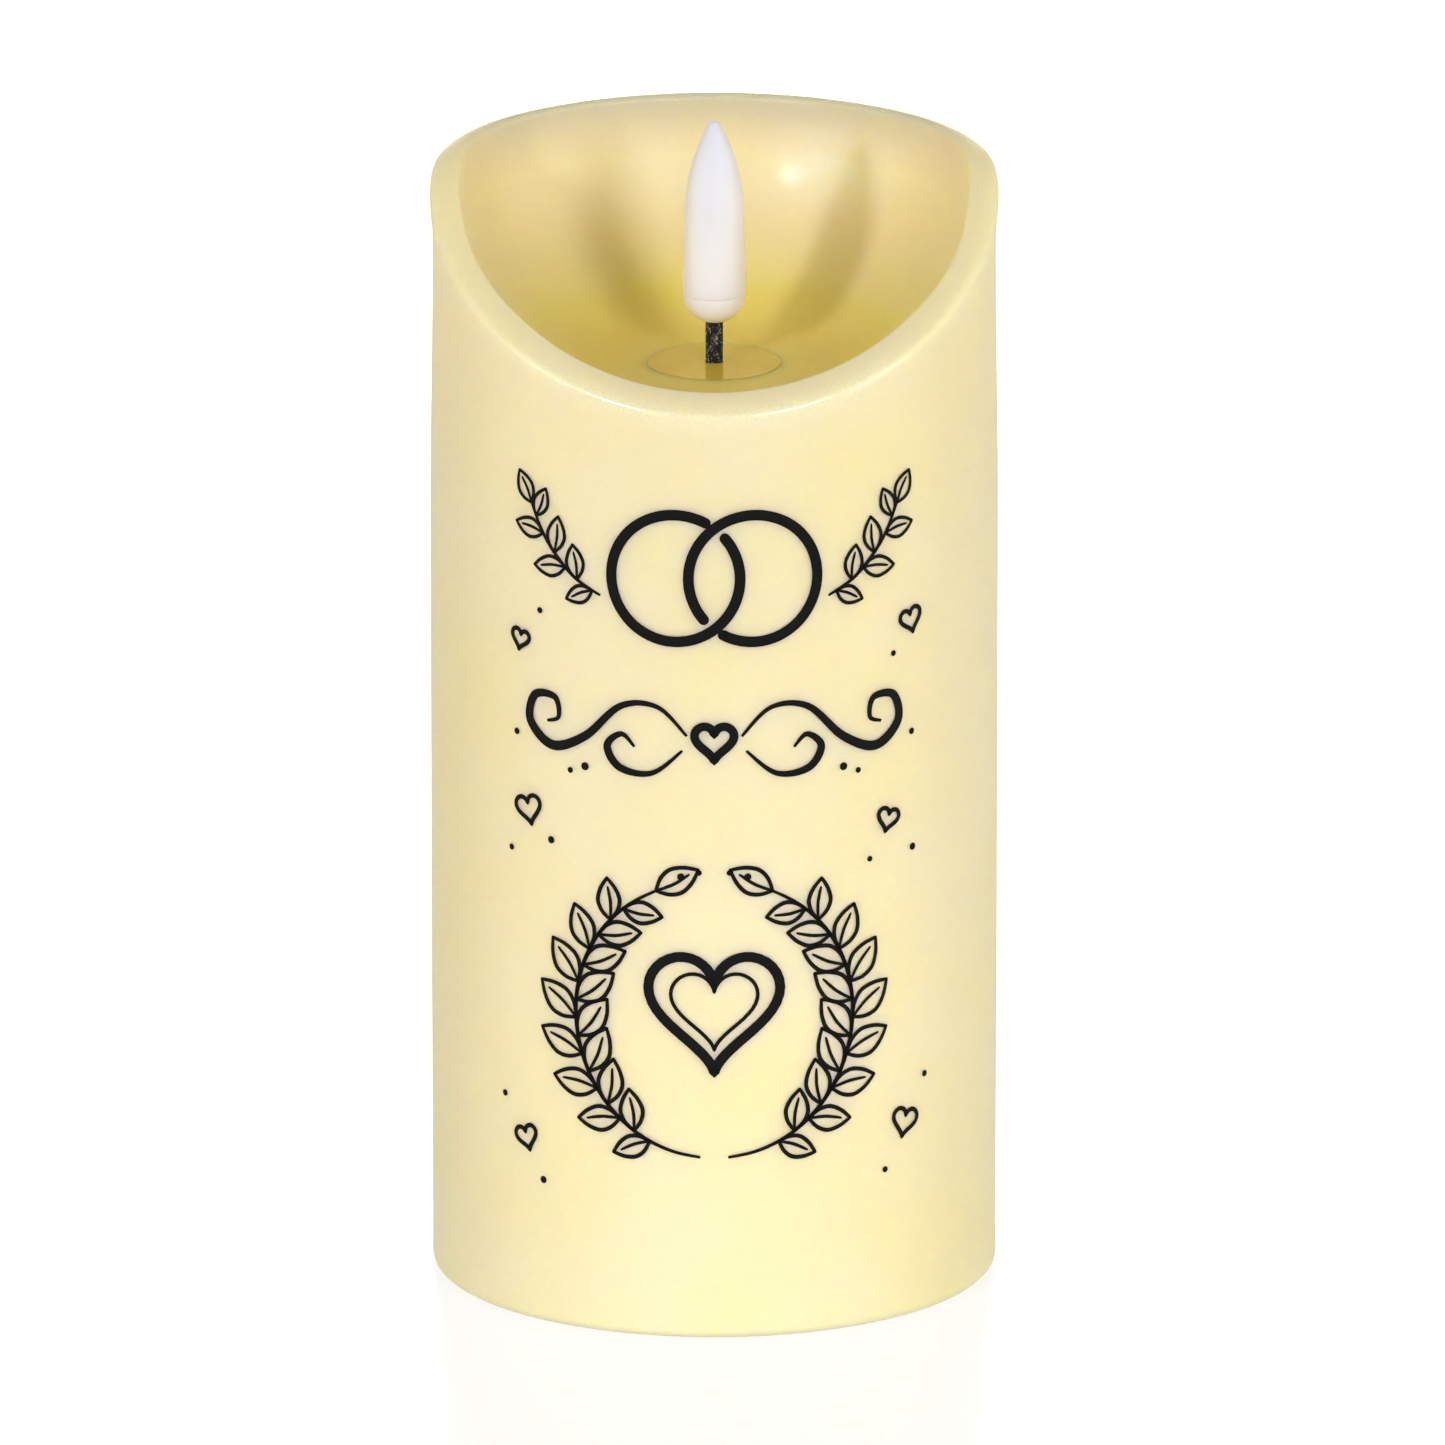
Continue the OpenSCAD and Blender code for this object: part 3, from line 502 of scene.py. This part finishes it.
def turn_rings(name, profile, segments, closed=False, tip=False):
    """Raises a stack of rings from a circle by extrusion: profile is (radius, height) of each ring."""
    deselect_all()
    bpy.ops.mesh.primitive_circle_add(vertices=segments, radius=profile[0][0], location=(0, 0, 0))
    piece = bpy.context.object
    piece.name = piece.data.name = name
    bpy.ops.object.mode_set(mode="EDIT")
    bpy.ops.mesh.select_all(action="SELECT")
    bpy.ops.transform.translate(value=(0, 0, profile[0][1]))
    for (r0, z0), (r1, z1) in zip(profile, profile[1:]):
        bpy.ops.mesh.extrude_edges_move(TRANSFORM_OT_translate={"value": (0, 0, z1 - z0)})
        bpy.ops.transform.resize(value=(r1 / r0, r1 / r0, 1), center_override=(0, 0, z1))
    if tip:
        bpy.ops.mesh.merge(type="CENTER")
    if closed:
        bpy.ops.mesh.select_all(action="DESELECT")
        bpy.ops.mesh.select_non_manifold()
        bpy.ops.mesh.bridge_edge_loops()
    bpy.ops.mesh.select_all(action="SELECT")
    bpy.ops.mesh.normals_make_consistent(inside=False)
    bpy.ops.object.mode_set(mode="OBJECT")
    return piece


def smooth_by_angle(piece, degrees):
    """Smooth shading that keeps edges sharper than the angle."""
    select_only(piece)
    bpy.ops.object.shade_smooth_by_angle(angle=math.radians(degrees))


def arc(centre, radius, start, stop, steps):
    """Points of an arc in a profile or a drawing, angles in degrees."""
    angles = [math.radians(start + (stop - start) * i / steps) for i in range(steps + 1)]
    return [(centre[0] + radius * math.cos(a), centre[1] + radius * math.sin(a)) for a in angles]


# Wax


def rim_height(look, y):
    """Height of the rim at depth y: level at the back, a straight slope in front."""
    def bent(d):
        return look.slope * (d - math.hypot(d, look.ease)) / 2

    return WAX_HIGH.z + bent(y - look.break_y) - bent(LIP_RADIUS - look.break_y)


def wall_radius(look, z):
    """Outer radius of the wall at a height, drawn in a little towards the rim and the foot."""
    tuck = look.tuck * (1 - smooth(0, 60 * MM, z))
    return LIP_RADIUS - look.skin - tuck - look.neck * smooth(105 * MM, 138 * MM, z)


def lip_arcs(look, angle, r_out, r_in):
    """The rounded top of the wall at one angle, from outside to inside."""
    dip = math.sin(angle)
    z_out = rim_height(look, r_out * dip)
    z_in = rim_height(look, r_in * dip)
    m = (z_out - z_in) / (r_in - r_out)
    slant = math.hypot(1, m)
    turn = math.degrees(math.atan2(1, m))
    room = (r_out - r_in) * 0.42
    edge = min(look.edge + (look.soft - look.edge) * smooth(-0.9, -0.35, dip), room)
    inner = min(look.crisp + (look.soft - look.crisp) * smooth(-0.75, -0.1, dip), room)
    first = (r_out - edge, z_out + m * edge - edge * slant)
    reach = r_out - r_in - inner
    second = (r_in + inner, z_out + m * reach - inner * slant)
    return arc(first, edge, 0, turn, EDGE_STEPS) + arc(second, inner, turn, 180, EDGE_STEPS)


def wax_section(look, angle):
    """One half-section of the pillar: foot, wall, lip, bowl, floor, hole, hollow and socket."""
    dip = math.sin(angle)
    foot, corner = 1.5 * MM, 6 * MM
    r_bowl = LIP_RADIUS - look.wall
    r_foot = wall_radius(look, 0)
    r_socket = r_bowl + 0.7 * MM
    r_hole = DISC_RADIUS - 0.02 * MM
    r_lip = wall_radius(look, rim_height(look, LIP_RADIUS * dip)) + look.bead
    r_mouth = r_bowl + (look.wall - look.back_wall) * smooth(-0.15, 0.8, dip)
    top = lip_arcs(look, angle, r_lip, r_mouth - (LIP_RADIUS - r_lip) * 0.6)
    outer_top = top[0][1]
    points = [(r_socket, 0), (r_socket + 0.6 * MM, 0), (r_foot - foot - 0.4 * MM, 0)]
    points += arc((r_foot - foot, foot), foot, -90, 0, EDGE_STEPS)
    low, high = foot, outer_top - 3.2 * MM
    for i in range(1, WALL_STEPS + 1):
        z = low + (high - low) * i / WALL_STEPS
        wave = noise.noise(Vector((math.cos(angle) * 1.7, dip * 1.7, z / (40 * MM)))) * look.wobble
        fade = smooth(0, 8 * MM, z) * (1 - smooth(high - 6 * MM, high, z))
        points.append((wall_radius(look, z) + (wave - look.wobble) * fade, z))
    points.append((wall_radius(look, outer_top) + look.bead * 0.45, outer_top - 1.9 * MM))
    points.append((r_lip - look.bead * 0.06, outer_top - 0.8 * MM))
    points += top
    r_top, bowl_top = top[-1]
    for i in range(1, BOWL_STEPS + 1):
        a = math.pi / 2 * i / BOWL_STEPS
        points.append((look.flat + (r_top - look.flat) * math.cos(a),
                       bowl_top - (bowl_top - FLOOR_Z) * math.sin(a)))
    for i in range(1, FLOOR_STEPS):
        points.append((look.flat + (r_hole + 0.6 * MM - look.flat) * i / FLOOR_STEPS, FLOOR_Z))
    points += [(r_hole + 0.12 * MM, FLOOR_Z), (r_hole + 0.06 * MM, FLOOR_Z - 0.02 * MM),
               (r_hole, FLOOR_Z - 0.08 * MM), (r_hole, CEILING_Z)]
    points += arc((r_bowl - corner, CEILING_Z - corner), corner, 90, 0, 6)
    points += [(r_bowl, BASE_TOP), (r_socket, BASE_TOP)]
    return points


def make_wax(look):
    """The pillar: rings extruded from the foot, then drawn to the sloping rim."""
    nominal = wax_section(look, math.pi / 2)
    piece = turn_rings("pillar_wax", nominal, WAX_SEGMENTS, closed=True)
    sections = {}
    for index, vertex in enumerate(piece.data.vertices):
        step = round(math.atan2(vertex.co.y, vertex.co.x) / math.tau * WAX_SEGMENTS) % WAX_SEGMENTS
        turn = math.tau * step / WAX_SEGMENTS
        if step not in sections:
            sections[step] = wax_section(look, turn)
        radius, height = sections[step][index // WAX_SEGMENTS]
        vertex.co = (radius * math.cos(turn), radius * math.sin(turn), height)
    smooth_by_angle(piece, 50)
    dress(piece, wax_finish(look))
    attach(piece, "candle")
    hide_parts("wax_pillar")


# Lamp and wick


def dome_profile(side, rise, tip, height):
    """An arc that closes in from the side, and a small round tip."""
    q = height - tip - rise
    sweep = (side * side - tip * tip + q * q) / (2 * (side - tip))
    turn = math.degrees(math.atan2(q, sweep - side))
    return arc((side - sweep, rise), sweep, 0, turn, 22) + arc((0, height - tip), tip, turn, 84, 9)[1:]


def make_lamp(look):
    """The milky shell and the cup under it, with a fine seam between."""
    finish = lamp_finish(look)
    half_seam = look.seam / 2
    pin = 0.05 * MM

    r = LAMP_RADIUS
    edge, draft, straight, tip = 0.06 * MM, 0.27 * MM, 10.5 * MM, 0.9 * MM
    skin = [(pin, half_seam), (r - 0.8 * MM, half_seam), (r - 0.3 * MM, half_seam), (r - edge, half_seam),
            (r - edge * 0.3, half_seam + edge * 0.3), (r, half_seam + edge)]
    skin += [(r - draft * i / SHELL_STEPS, straight * i / SHELL_STEPS) for i in range(1, SHELL_STEPS)]
    skin += dome_profile(r - draft, straight, tip, SHELL_HIGH.z - SEAM_Z)
    shell = turn_rings("lamp_shell_skin", [(a, SEAM_Z + b) for a, b in skin], LAMP_SEGMENTS, tip=True)

    r = CUP_HIGH.x
    hole, chamfer = 1.5 * MM, 0.03 * MM
    belly_top = SEAM_Z - 0.2 * MM
    stretch = (belly_top - CUP_LOW.z) / math.sqrt(1 - (hole / r) ** 2)
    first = math.asin(hole / r)
    belly = []
    for i in range(CUP_STEPS + 1):
        a = first + (math.pi / 2 - first) * i / CUP_STEPS
        belly.append((r * math.sin(a), belly_top - stretch * math.cos(a)))
    mouth = [(0.9 * MM, CUP_LOW.z + 0.5 * MM), (1.05 * MM, CUP_LOW.z + 0.06 * MM), (1.25 * MM, CUP_LOW.z)]
    cup_top = SEAM_Z - half_seam
    rim = [(r, cup_top - chamfer), (r - chamfer, cup_top), (r - 0.8 * MM, cup_top), (pin, cup_top)]
    cup = turn_rings("lamp_cup_skin", mouth + belly + rim, LAMP_SEGMENTS)

    for piece, node in ((shell, "lamp_shell"), (cup, "lamp_cup")):
        smooth_by_angle(piece, 40)
        dress(piece, finish)
        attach(piece, "candle")
        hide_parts(node)


def make_wick(look):
    """The flat sleeve: a ringed tube squeezed, scuffed and made a little uneven."""
    half_w, half_t = WICK_HIGH.x, WICK_HIGH.y
    low, high = WICK_LOW.z, WICK_HIGH.z
    flatness, slack = 0.62, 0.05
    profile = [(half_w, low + (high - low) * i / WICK_STEPS) for i in range(WICK_STEPS + 1)]
    piece = turn_rings("wick_skin", profile, WICK_SEGMENTS)
    for vertex in piece.data.vertices:
        angle = math.atan2(vertex.co.y, vertex.co.x)
        z = vertex.co.z
        x = half_w * math.copysign(abs(math.cos(angle)) ** flatness, math.cos(angle))
        y = half_t * math.copysign(abs(math.sin(angle)) ** flatness, math.sin(angle))
        rough = noise.noise(Vector((x * 2600, y * 2600, z * 1300))) * 0.05 * MM
        swell = noise.noise(Vector((0.3, 7.7, z * 420))) * 0.03 * MM
        scale = 1 - slack + (rough + swell) / half_w
        vertex.co = (x * scale, y * scale, z)
    smooth_by_angle(piece, 60)
    dress(piece, wick_finish(look))
    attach(piece, "candle")
    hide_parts("wick_sleeve")


# Print


def spline(points, steps):
    """A smooth line through given points."""
    last = len(points) - 1
    line = []
    for i in range(last):
        p = [points[min(max(i + k - 1, 0), last)] for k in range(4)]
        for j in range(steps):
            t = j / steps
            line.append(tuple(0.5 * (2 * p[1][a] + (p[2][a] - p[0][a]) * t
                                     + (2 * p[0][a] - 5 * p[1][a] + 4 * p[2][a] - p[3][a]) * t * t
                                     + (3 * p[1][a] - p[0][a] - 3 * p[2][a] + p[3][a]) * t ** 3) for a in (0, 1)))
    line.append(tuple(points[-1]))
    return line


class Drawing:
    """Strokes in millimetres on the unrolled front: across, and height above the foot."""

    def __init__(self):
        self.verts = []
        self.faces = []

    def stroke(self, line, width, closed=False, taper=0.0, swell=0.0):
        """A ribbon along a line; taper thins the ends and swell thickens the middle."""
        count = len(line)
        base = len(self.verts)
        for i, (u, v) in enumerate(line):
            a = line[(i - 1) % count] if closed else line[max(i - 1, 0)]
            b = line[(i + 1) % count] if closed else line[min(i + 1, count - 1)]
            du, dv = b[0] - a[0], b[1] - a[1]
            size = math.hypot(du, dv) or 1
            t = i / max(count - 1, 1)
            share = (1 - taper) + taper * math.sin(math.pi * t) ** 0.6
            half = width * (share + swell * math.sin(math.pi * t) ** 2) / 2
            for side in (-1, 0, 1):
                self.verts.append((u - dv / size * half * side, v + du / size * half * side))
        last = count if closed else count - 1
        for i in range(last):
            j = (i + 1) % count
            for k in (0, 1):
                self.faces.append((base + 3 * i + k, base + 3 * j + k, base + 3 * j + k + 1, base + 3 * i + k + 1))
        if not closed and taper < 0.5:
            self.dot(*line[0], width * (1 - taper) / 2)
            self.dot(*line[-1], width * (1 - taper) / 2)

    def dot(self, u, v, radius):
        """A filled disc."""
        base = len(self.verts)
        self.verts.append((u, v))
        for i in range(DOT_SIDES):
            a = math.tau * i / DOT_SIDES
            self.verts.append((u + radius * math.cos(a), v + radius * math.sin(a)))
        for i in range(DOT_SIDES):
            self.faces.append((base, base + 1 + i, base + 1 + (i + 1) % DOT_SIDES))

    def heart(self, u, v, size, width, tilt=0.0):
        """An outlined heart, size across."""
        c, s = math.cos(math.radians(tilt)), math.sin(math.radians(tilt))
        line = []
        for i in range(HEART_STEPS):
            t = math.tau * i / HEART_STEPS
            x = 16 * math.sin(t) ** 3
            y = 13 * math.cos(t) - 5 * math.cos(2 * t) - 2 * math.cos(3 * t) - math.cos(4 * t)
            x, y = x * size / 32, (y + 2.5) * size / 32
            line.append((u + x * c - y * s, v + x * s + y * c))
        self.stroke(line, width, closed=True)

    def leaf(self, u, v, heading, length, width):
        """A pointed leaf with a midrib, growing from u, v."""
        c, s = math.cos(math.radians(heading)), math.sin(math.radians(heading))

        def at(along, across):
            return (u + along * c - across * s, v + along * s + across * c)

        belly = 0.27 * length
        side = [(0.0, 0.0), (0.22, 0.72), (0.48, 1.0), (0.76, 0.66), (1.0, 0.0)]
        for way in (1, -1):
            self.stroke(spline([at(a * length, b * belly * way) for a, b in side], 6), width, taper=0.25)
        rib = [at(0, 0), at(0.4 * length, 0.04 * length), at(0.78 * length, 0)]
        self.stroke(spline(rib, 5), width * 0.8, taper=0.4)

    def sprig(self, line, leaf_length, width, pairs):
        """A stem with leaves on alternate sides and one at its end."""
        stem = spline(line, 12)
        self.stroke(stem, width, taper=0.35)

        def heading(k):
            return math.degrees(math.atan2(stem[k + 1][1] - stem[k][1], stem[k + 1][0] - stem[k][0]))

        for i in range(pairs * 2):
            k = int((0.14 + 0.76 * i / (pairs * 2 - 1)) * (len(stem) - 2))
            size = leaf_length * (0.78 + 0.3 * math.sin(math.pi * (i + 1) / (pairs * 2 + 1)))
            self.leaf(*stem[k], heading(k) + (48 if i % 2 else -48), size, width)
        self.leaf(*stem[-1], heading(-2), leaf_length, width)

    def mirrored(self, draw):
        """Draws the same strokes on both sides of the middle."""
        start_v, start_f = len(self.verts), len(self.faces)
        draw()
        count = len(self.verts) - start_v
        self.verts += [(-u, v) for u, v in self.verts[start_v:]]
        self.faces += [tuple(reversed([i + count for i in face])) for face in self.faces[start_f:]]


def lay_print(name, drawing, radius, film, ink):
    """Rolls a drawing onto the wall and gives the ink its thickness."""
    mesh = bpy.data.meshes.new(name)
    points = []
    for u, v in drawing.verts:
        r = radius(v * MM)
        a = u * MM / LIP_RADIUS
        points.append((r * math.sin(a), -r * math.cos(a), v * MM))
    mesh.from_pydata(points, [], drawing.faces)
    piece = bpy.data.objects.new(name, mesh)
    bpy.context.scene.collection.objects.link(piece)
    shape = bmesh.new()
    shape.from_mesh(mesh)
    for face in shape.faces:
        centre = face.calc_center_median()
        face.normal_update()
        if face.normal.dot(Vector((centre.x, centre.y, 0))) < 0:
            face.normal_flip()
    shape.to_mesh(mesh)
    shape.free()
    select_only(piece)
    modifier = piece.modifiers.new("Film", "SOLIDIFY")
    modifier.thickness = film
    modifier.offset = 1.0
    bpy.ops.object.modifier_apply(modifier=modifier.name)
    dress(piece, ink)
    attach(piece, "candle")


def draw_rings(bold, fine):
    """Two joined rings between leafy sprigs."""
    rings = Drawing()
    gap = 22
    for u, start in ((-5.2, 62), (5.2, 242)):
        rings.stroke(arc((u, 104), 8.6, start, start + 360 - gap, RING_STEPS), bold * 1.1)
    rings.mirrored(lambda: rings.sprig([(15.5, 101.0), (19.5, 103.2), (23.5, 107.4), (26.0, 112.0)], 4.6, fine, 3))
    return rings


def draw_scroll(bold):
    """Two curls on each side of a small heart."""
    scroll = Drawing()
    upper = [(3.6, 82.6), (7.5, 86.4), (12.5, 86.2), (17.5, 81.6), (22.5, 79.6), (26.2, 82.4), (25.4, 86.0),
             (22.2, 86.2), (21.6, 83.6), (23.4, 82.8)]
    lower = [(4.2, 80.6), (8.2, 77.4), (12.6, 77.8), (14.4, 80.6), (12.4, 82.4), (10.6, 80.8)]

    def half():
        scroll.stroke(spline(upper, 9), bold * 0.55, taper=0.5, swell=0.9)
        scroll.stroke(spline(lower, 9), bold * 0.5, taper=0.5, swell=0.7)
        for dot in ((17.6, 77.4, 0.55), (19.8, 76.6, 0.4), (28.6, 80.4, 0.45)):
            scroll.dot(*dot)

    scroll.mirrored(half)
    scroll.heart(0, 81.6, 5.2, bold * 0.9)
    return scroll


def draw_wreath(bold, fine):
    """A leafy wreath, open at the top, round a double heart."""
    wreath = Drawing()
    turns = [math.radians(a) for a in range(6, 157, 10)]
    line = [(19.0 * math.sin(a), 44 - 19.0 * math.cos(a)) for a in turns]

    def half():
        wreath.sprig(line, 6.4, fine * 1.15, 8)
        wreath.dot(4.4, 63.4, 0.5)
        wreath.dot(2.0, 64.0, 0.38)

    wreath.mirrored(half)
    wreath.heart(0, 44.6, 17.5, bold * 1.05)
    wreath.heart(0, 45.0, 11.5, fine)
    return wreath


def draw_hearts(fine):
    """Small hearts and dots down both sides."""
    scatter = Drawing()
    for u, v, size, tilt in ((-26.5, 70.0, 4.2, 14), (24.5, 69.0, 3.4, -16), (-28.0, 93.0, 3.0, -10),
                             (28.5, 95.5, 3.6, 12), (-27.0, 25.0, 3.6, 18), (27.5, 27.0, 4.2, -14)):
        scatter.heart(u, v, size, fine * 1.25, tilt)
    for dot in ((-22.8, 66.6, 0.5), (-29.6, 64.4, 0.42), (28.8, 64.6, 0.5), (21.6, 64.2, 0.4),
                (-31.0, 30.4, 0.45), (-24.2, 19.8, 0.5), (31.2, 33.0, 0.45), (24.2, 21.2, 0.42),
                (-24.6, 97.6, 0.42), (25.4, 91.6, 0.4)):
        scatter.dot(*dot)
    return scatter


def make_print(look, radius):
    """Line drawings on the front: joined rings, a scroll, a leafy wreath with a heart, and small hearts."""
    bold, fine = look.bold / MM, look.fine / MM
    ink = ink_finish(look)
    for name, drawing in (("print_rings", draw_rings(bold, fine)), ("print_scroll", draw_scroll(bold)),
                          ("print_wreath", draw_wreath(bold, fine)), ("print_hearts", draw_hearts(fine))):
        lay_print(name, drawing, radius, look.film, ink)


# Operators


class CANDLE_OT_wax(bpy.types.Operator):
    """Build the wax pillar with its sloping rim and bowl"""

    bl_idname = "candle.wax"
    bl_label = "Wax Pillar"

    def execute(self, context):
        make_wax(context.scene.candle_wax)
        dress(NODES["wick_holder"], plug_finish())
        return {"FINISHED"}


class CANDLE_OT_lamp(bpy.types.Operator):
    """Build the lamp's shell and cup, and the wick"""

    bl_idname = "candle.lamp"
    bl_label = "Lamp and Wick"

    def execute(self, context):
        make_lamp(context.scene.candle_lamp)
        make_wick(context.scene.candle_lamp)
        return {"FINISHED"}


class CANDLE_OT_print(bpy.types.Operator):
    """Lay the line drawing on the front of the wax"""

    bl_idname = "candle.print"
    bl_label = "Front Print"

    def execute(self, context):
        wax = context.scene.candle_wax
        lift = 0.03 * MM
        make_print(context.scene.candle_print, lambda z: wall_radius(wax, z) + lift)
        return {"FINISHED"}


class CANDLE_OT_base(bpy.types.Operator):
    """Give the battery base and everything inside it their finishes"""

    bl_idname = "candle.base"
    bl_label = "Battery Base"

    def execute(self, context):
        finishes = (
            (moulding_finish("ivory_moulding", "F1E8CF", "EADFC0"), ("base_cap", "battery_door")),
            (moulding_finish("black_moulding", "1B1B1D", "242426"), ("battery_holder", "switch_slider")),
            (moulding_finish("chip_package", "141416", "1E1E20", 0.15 * MM, (0.5, 0.65)),
             ("timer_chip", "chip_resistors")),
            (metal_finish("plated_steel", "C9C9C8", "A8A6A2", (1, 1, 0.08)),
             ("positive_contact", "negative_contact", "negative_spring", "bridge_contact", "bridge_spring",
              "switch_housing")),
            (metal_finish("zinc_screw", "BFC1C4", "96989B"), ("holder_screws", "board_screws")),
            (sheath_finish("red_sheath", "B5221E", "9E1A18"), ("lamp_wire_red", "battery_wire_red")),
            (sheath_finish("black_sheath", "1A1A1B", "262627"), ("lamp_wire_black", "battery_wire_black")),
            (moulding_finish("led_resin", "F6E7B4", "EFD991", 0.6 * MM, (0.12, 0.2)), ("lamp_led",)),
            (cell_finish(), ("battery_cell_front", "battery_cell_rear")),
            (board_finish(), ("circuit_board",)),
        )
        for material, names in finishes:
            for name in names:
                dress(NODES[name], material)
        return {"FINISHED"}


class CANDLE_OT_stage(bpy.types.Operator):
    """Set up the floor, lights, surroundings and camera"""

    bl_idname = "candle.stage"
    bl_label = "Stage"

    def execute(self, context):
        scene = context.scene
        look = scene.candle_stage
        deselect_all()
        bpy.ops.mesh.primitive_plane_add(size=8, location=(0, 0, 0))
        floor = context.object
        floor.name = "floor"
        dress(floor, floor_finish())
        white, cool, warm, amber = (1, 1, 1), (0.94, 0.975, 1.2), (1.0, 0.92, 0.8), (1.0, 0.85, 0.6)
        bowl, foot = Vector((0, 0, 0.12)), Vector((0, WAX_LOW.y, 0.005))
        far, near = 1.3, 0.14
        self.light("key_right", bowl, 25.4, 18.5, far, 0.28, look.key_power * 0.94, cool)
        self.light("key_left", bowl, -33.4, 18.5, far, 0.13, look.key_power, cool)
        self.light("side_right", bowl, 75, 6, far, 0.8, look.side_power, warm)
        self.light("side_left", bowl, -75, 6, far, 0.8, look.side_power * 0.68, amber)
        self.light("back", bowl, 180, 3, far, 0.4, look.side_power * 0.85, warm)
        self.light("table", foot, 0, -28, near, 0.2, look.table_power, white)
        scene.world = self.surroundings(look, white, (1.0, 0.94, 0.66))
        data = bpy.data.cameras.new("camera")
        data.lens = look.lens
        data.sensor_width = 36
        data.clip_end = 50
        camera = bpy.data.objects.new("camera", data)
        camera.location = (look.camera_right, -look.camera_back, look.camera_up)
        camera.rotation_euler = (math.pi / 2 - look.pitch, 0, 0)
        scene.collection.objects.link(camera)
        scene.camera = camera
        scene.view_settings.view_transform = "Standard"
        return {"FINISHED"}

    def light(self, name, aim, turn, rise, reach, size, power, colour):
        """A square soft light at a reach from what it is aimed at: turn and rise are degrees seen from there."""
        data = bpy.data.lights.new(name, "AREA")
        data.size = size
        data.energy = power
        data.color = colour
        turn, rise = math.radians(turn), math.radians(rise)
        way = Vector((math.sin(turn) * math.cos(rise), -math.cos(turn) * math.cos(rise), math.sin(rise)))
        lamp = bpy.data.objects.new(name, data)
        lamp.location = aim + way * reach
        lamp.rotation_euler = (-way).to_track_quat("-Z", "Y").to_euler()
        lamp.visible_camera = False
        bpy.context.scene.collection.objects.link(lamp)

    def surroundings(self, look, white, sky):
        """White to the camera and in reflections; as light, a soft sky above and a pale table below."""
        world = bpy.data.worlds.new("studio")
        world.use_nodes = True
        w = Nodes(world.node_tree)
        camera, gloss, through = (w.node("ShaderNodeLightPath", output=f"Is {ray} Ray")
                                  for ray in ("Camera", "Glossy", "Transmission"))
        seen = w.calc("MAXIMUM", camera, w.calc("MAXIMUM", gloss, through))
        height = w.node("ShaderNodeSeparateXYZ", None, {0: w.node("ShaderNodeTexCoord", output="Generated")}, "Z")
        upper = w.band(height, 0.0, 1.0, look.level, look.above)
        lower = w.band(height, -0.05, 0.0, look.below - look.level, 0.0)
        strength = w.band(seen, 0.0, 1.0, upper + lower, 1.0)
        colour = w.mix((height > 0.0) - seen, white, sky)
        w.end(w.node("ShaderNodeBackground", None, {"Color": colour, "Strength": strength}), "ShaderNodeOutputWorld")
        return world


class CANDLE_PT_panel(bpy.types.Panel):
    """Lists the candle's steps"""

    bl_idname = "CANDLE_PT_panel"
    bl_label = "Candle"
    bl_space_type = "VIEW_3D"
    bl_region_type = "UI"
    bl_category = "Candle"

    def draw(self, context):
        for operator in OPERATORS:
            self.layout.operator(operator.bl_idname)


LOOKS = {"candle_wax": WaxLook, "candle_lamp": LampLook, "candle_print": PrintLook, "candle_stage": StageLook}
OPERATORS = (CANDLE_OT_stage, CANDLE_OT_wax, CANDLE_OT_lamp, CANDLE_OT_print, CANDLE_OT_base)


def register():
    for look in LOOKS.values():
        bpy.utils.register_class(look)
    for name, look in LOOKS.items():
        setattr(bpy.types.Scene, name, bpy.props.PointerProperty(type=look))
    for operator in OPERATORS:
        bpy.utils.register_class(operator)
    bpy.utils.register_class(CANDLE_PT_panel)


def unregister():
    bpy.utils.unregister_class(CANDLE_PT_panel)
    for operator in reversed(OPERATORS):
        bpy.utils.unregister_class(operator)
    for name, look in LOOKS.items():
        delattr(bpy.types.Scene, name)
        bpy.utils.unregister_class(look)


def main():
    register()
    bpy.ops.candle.stage()
    bpy.ops.candle.wax()
    bpy.ops.candle.lamp()
    bpy.ops.candle.print()
    bpy.ops.candle.base()


if __name__ == "__main__":
    main()
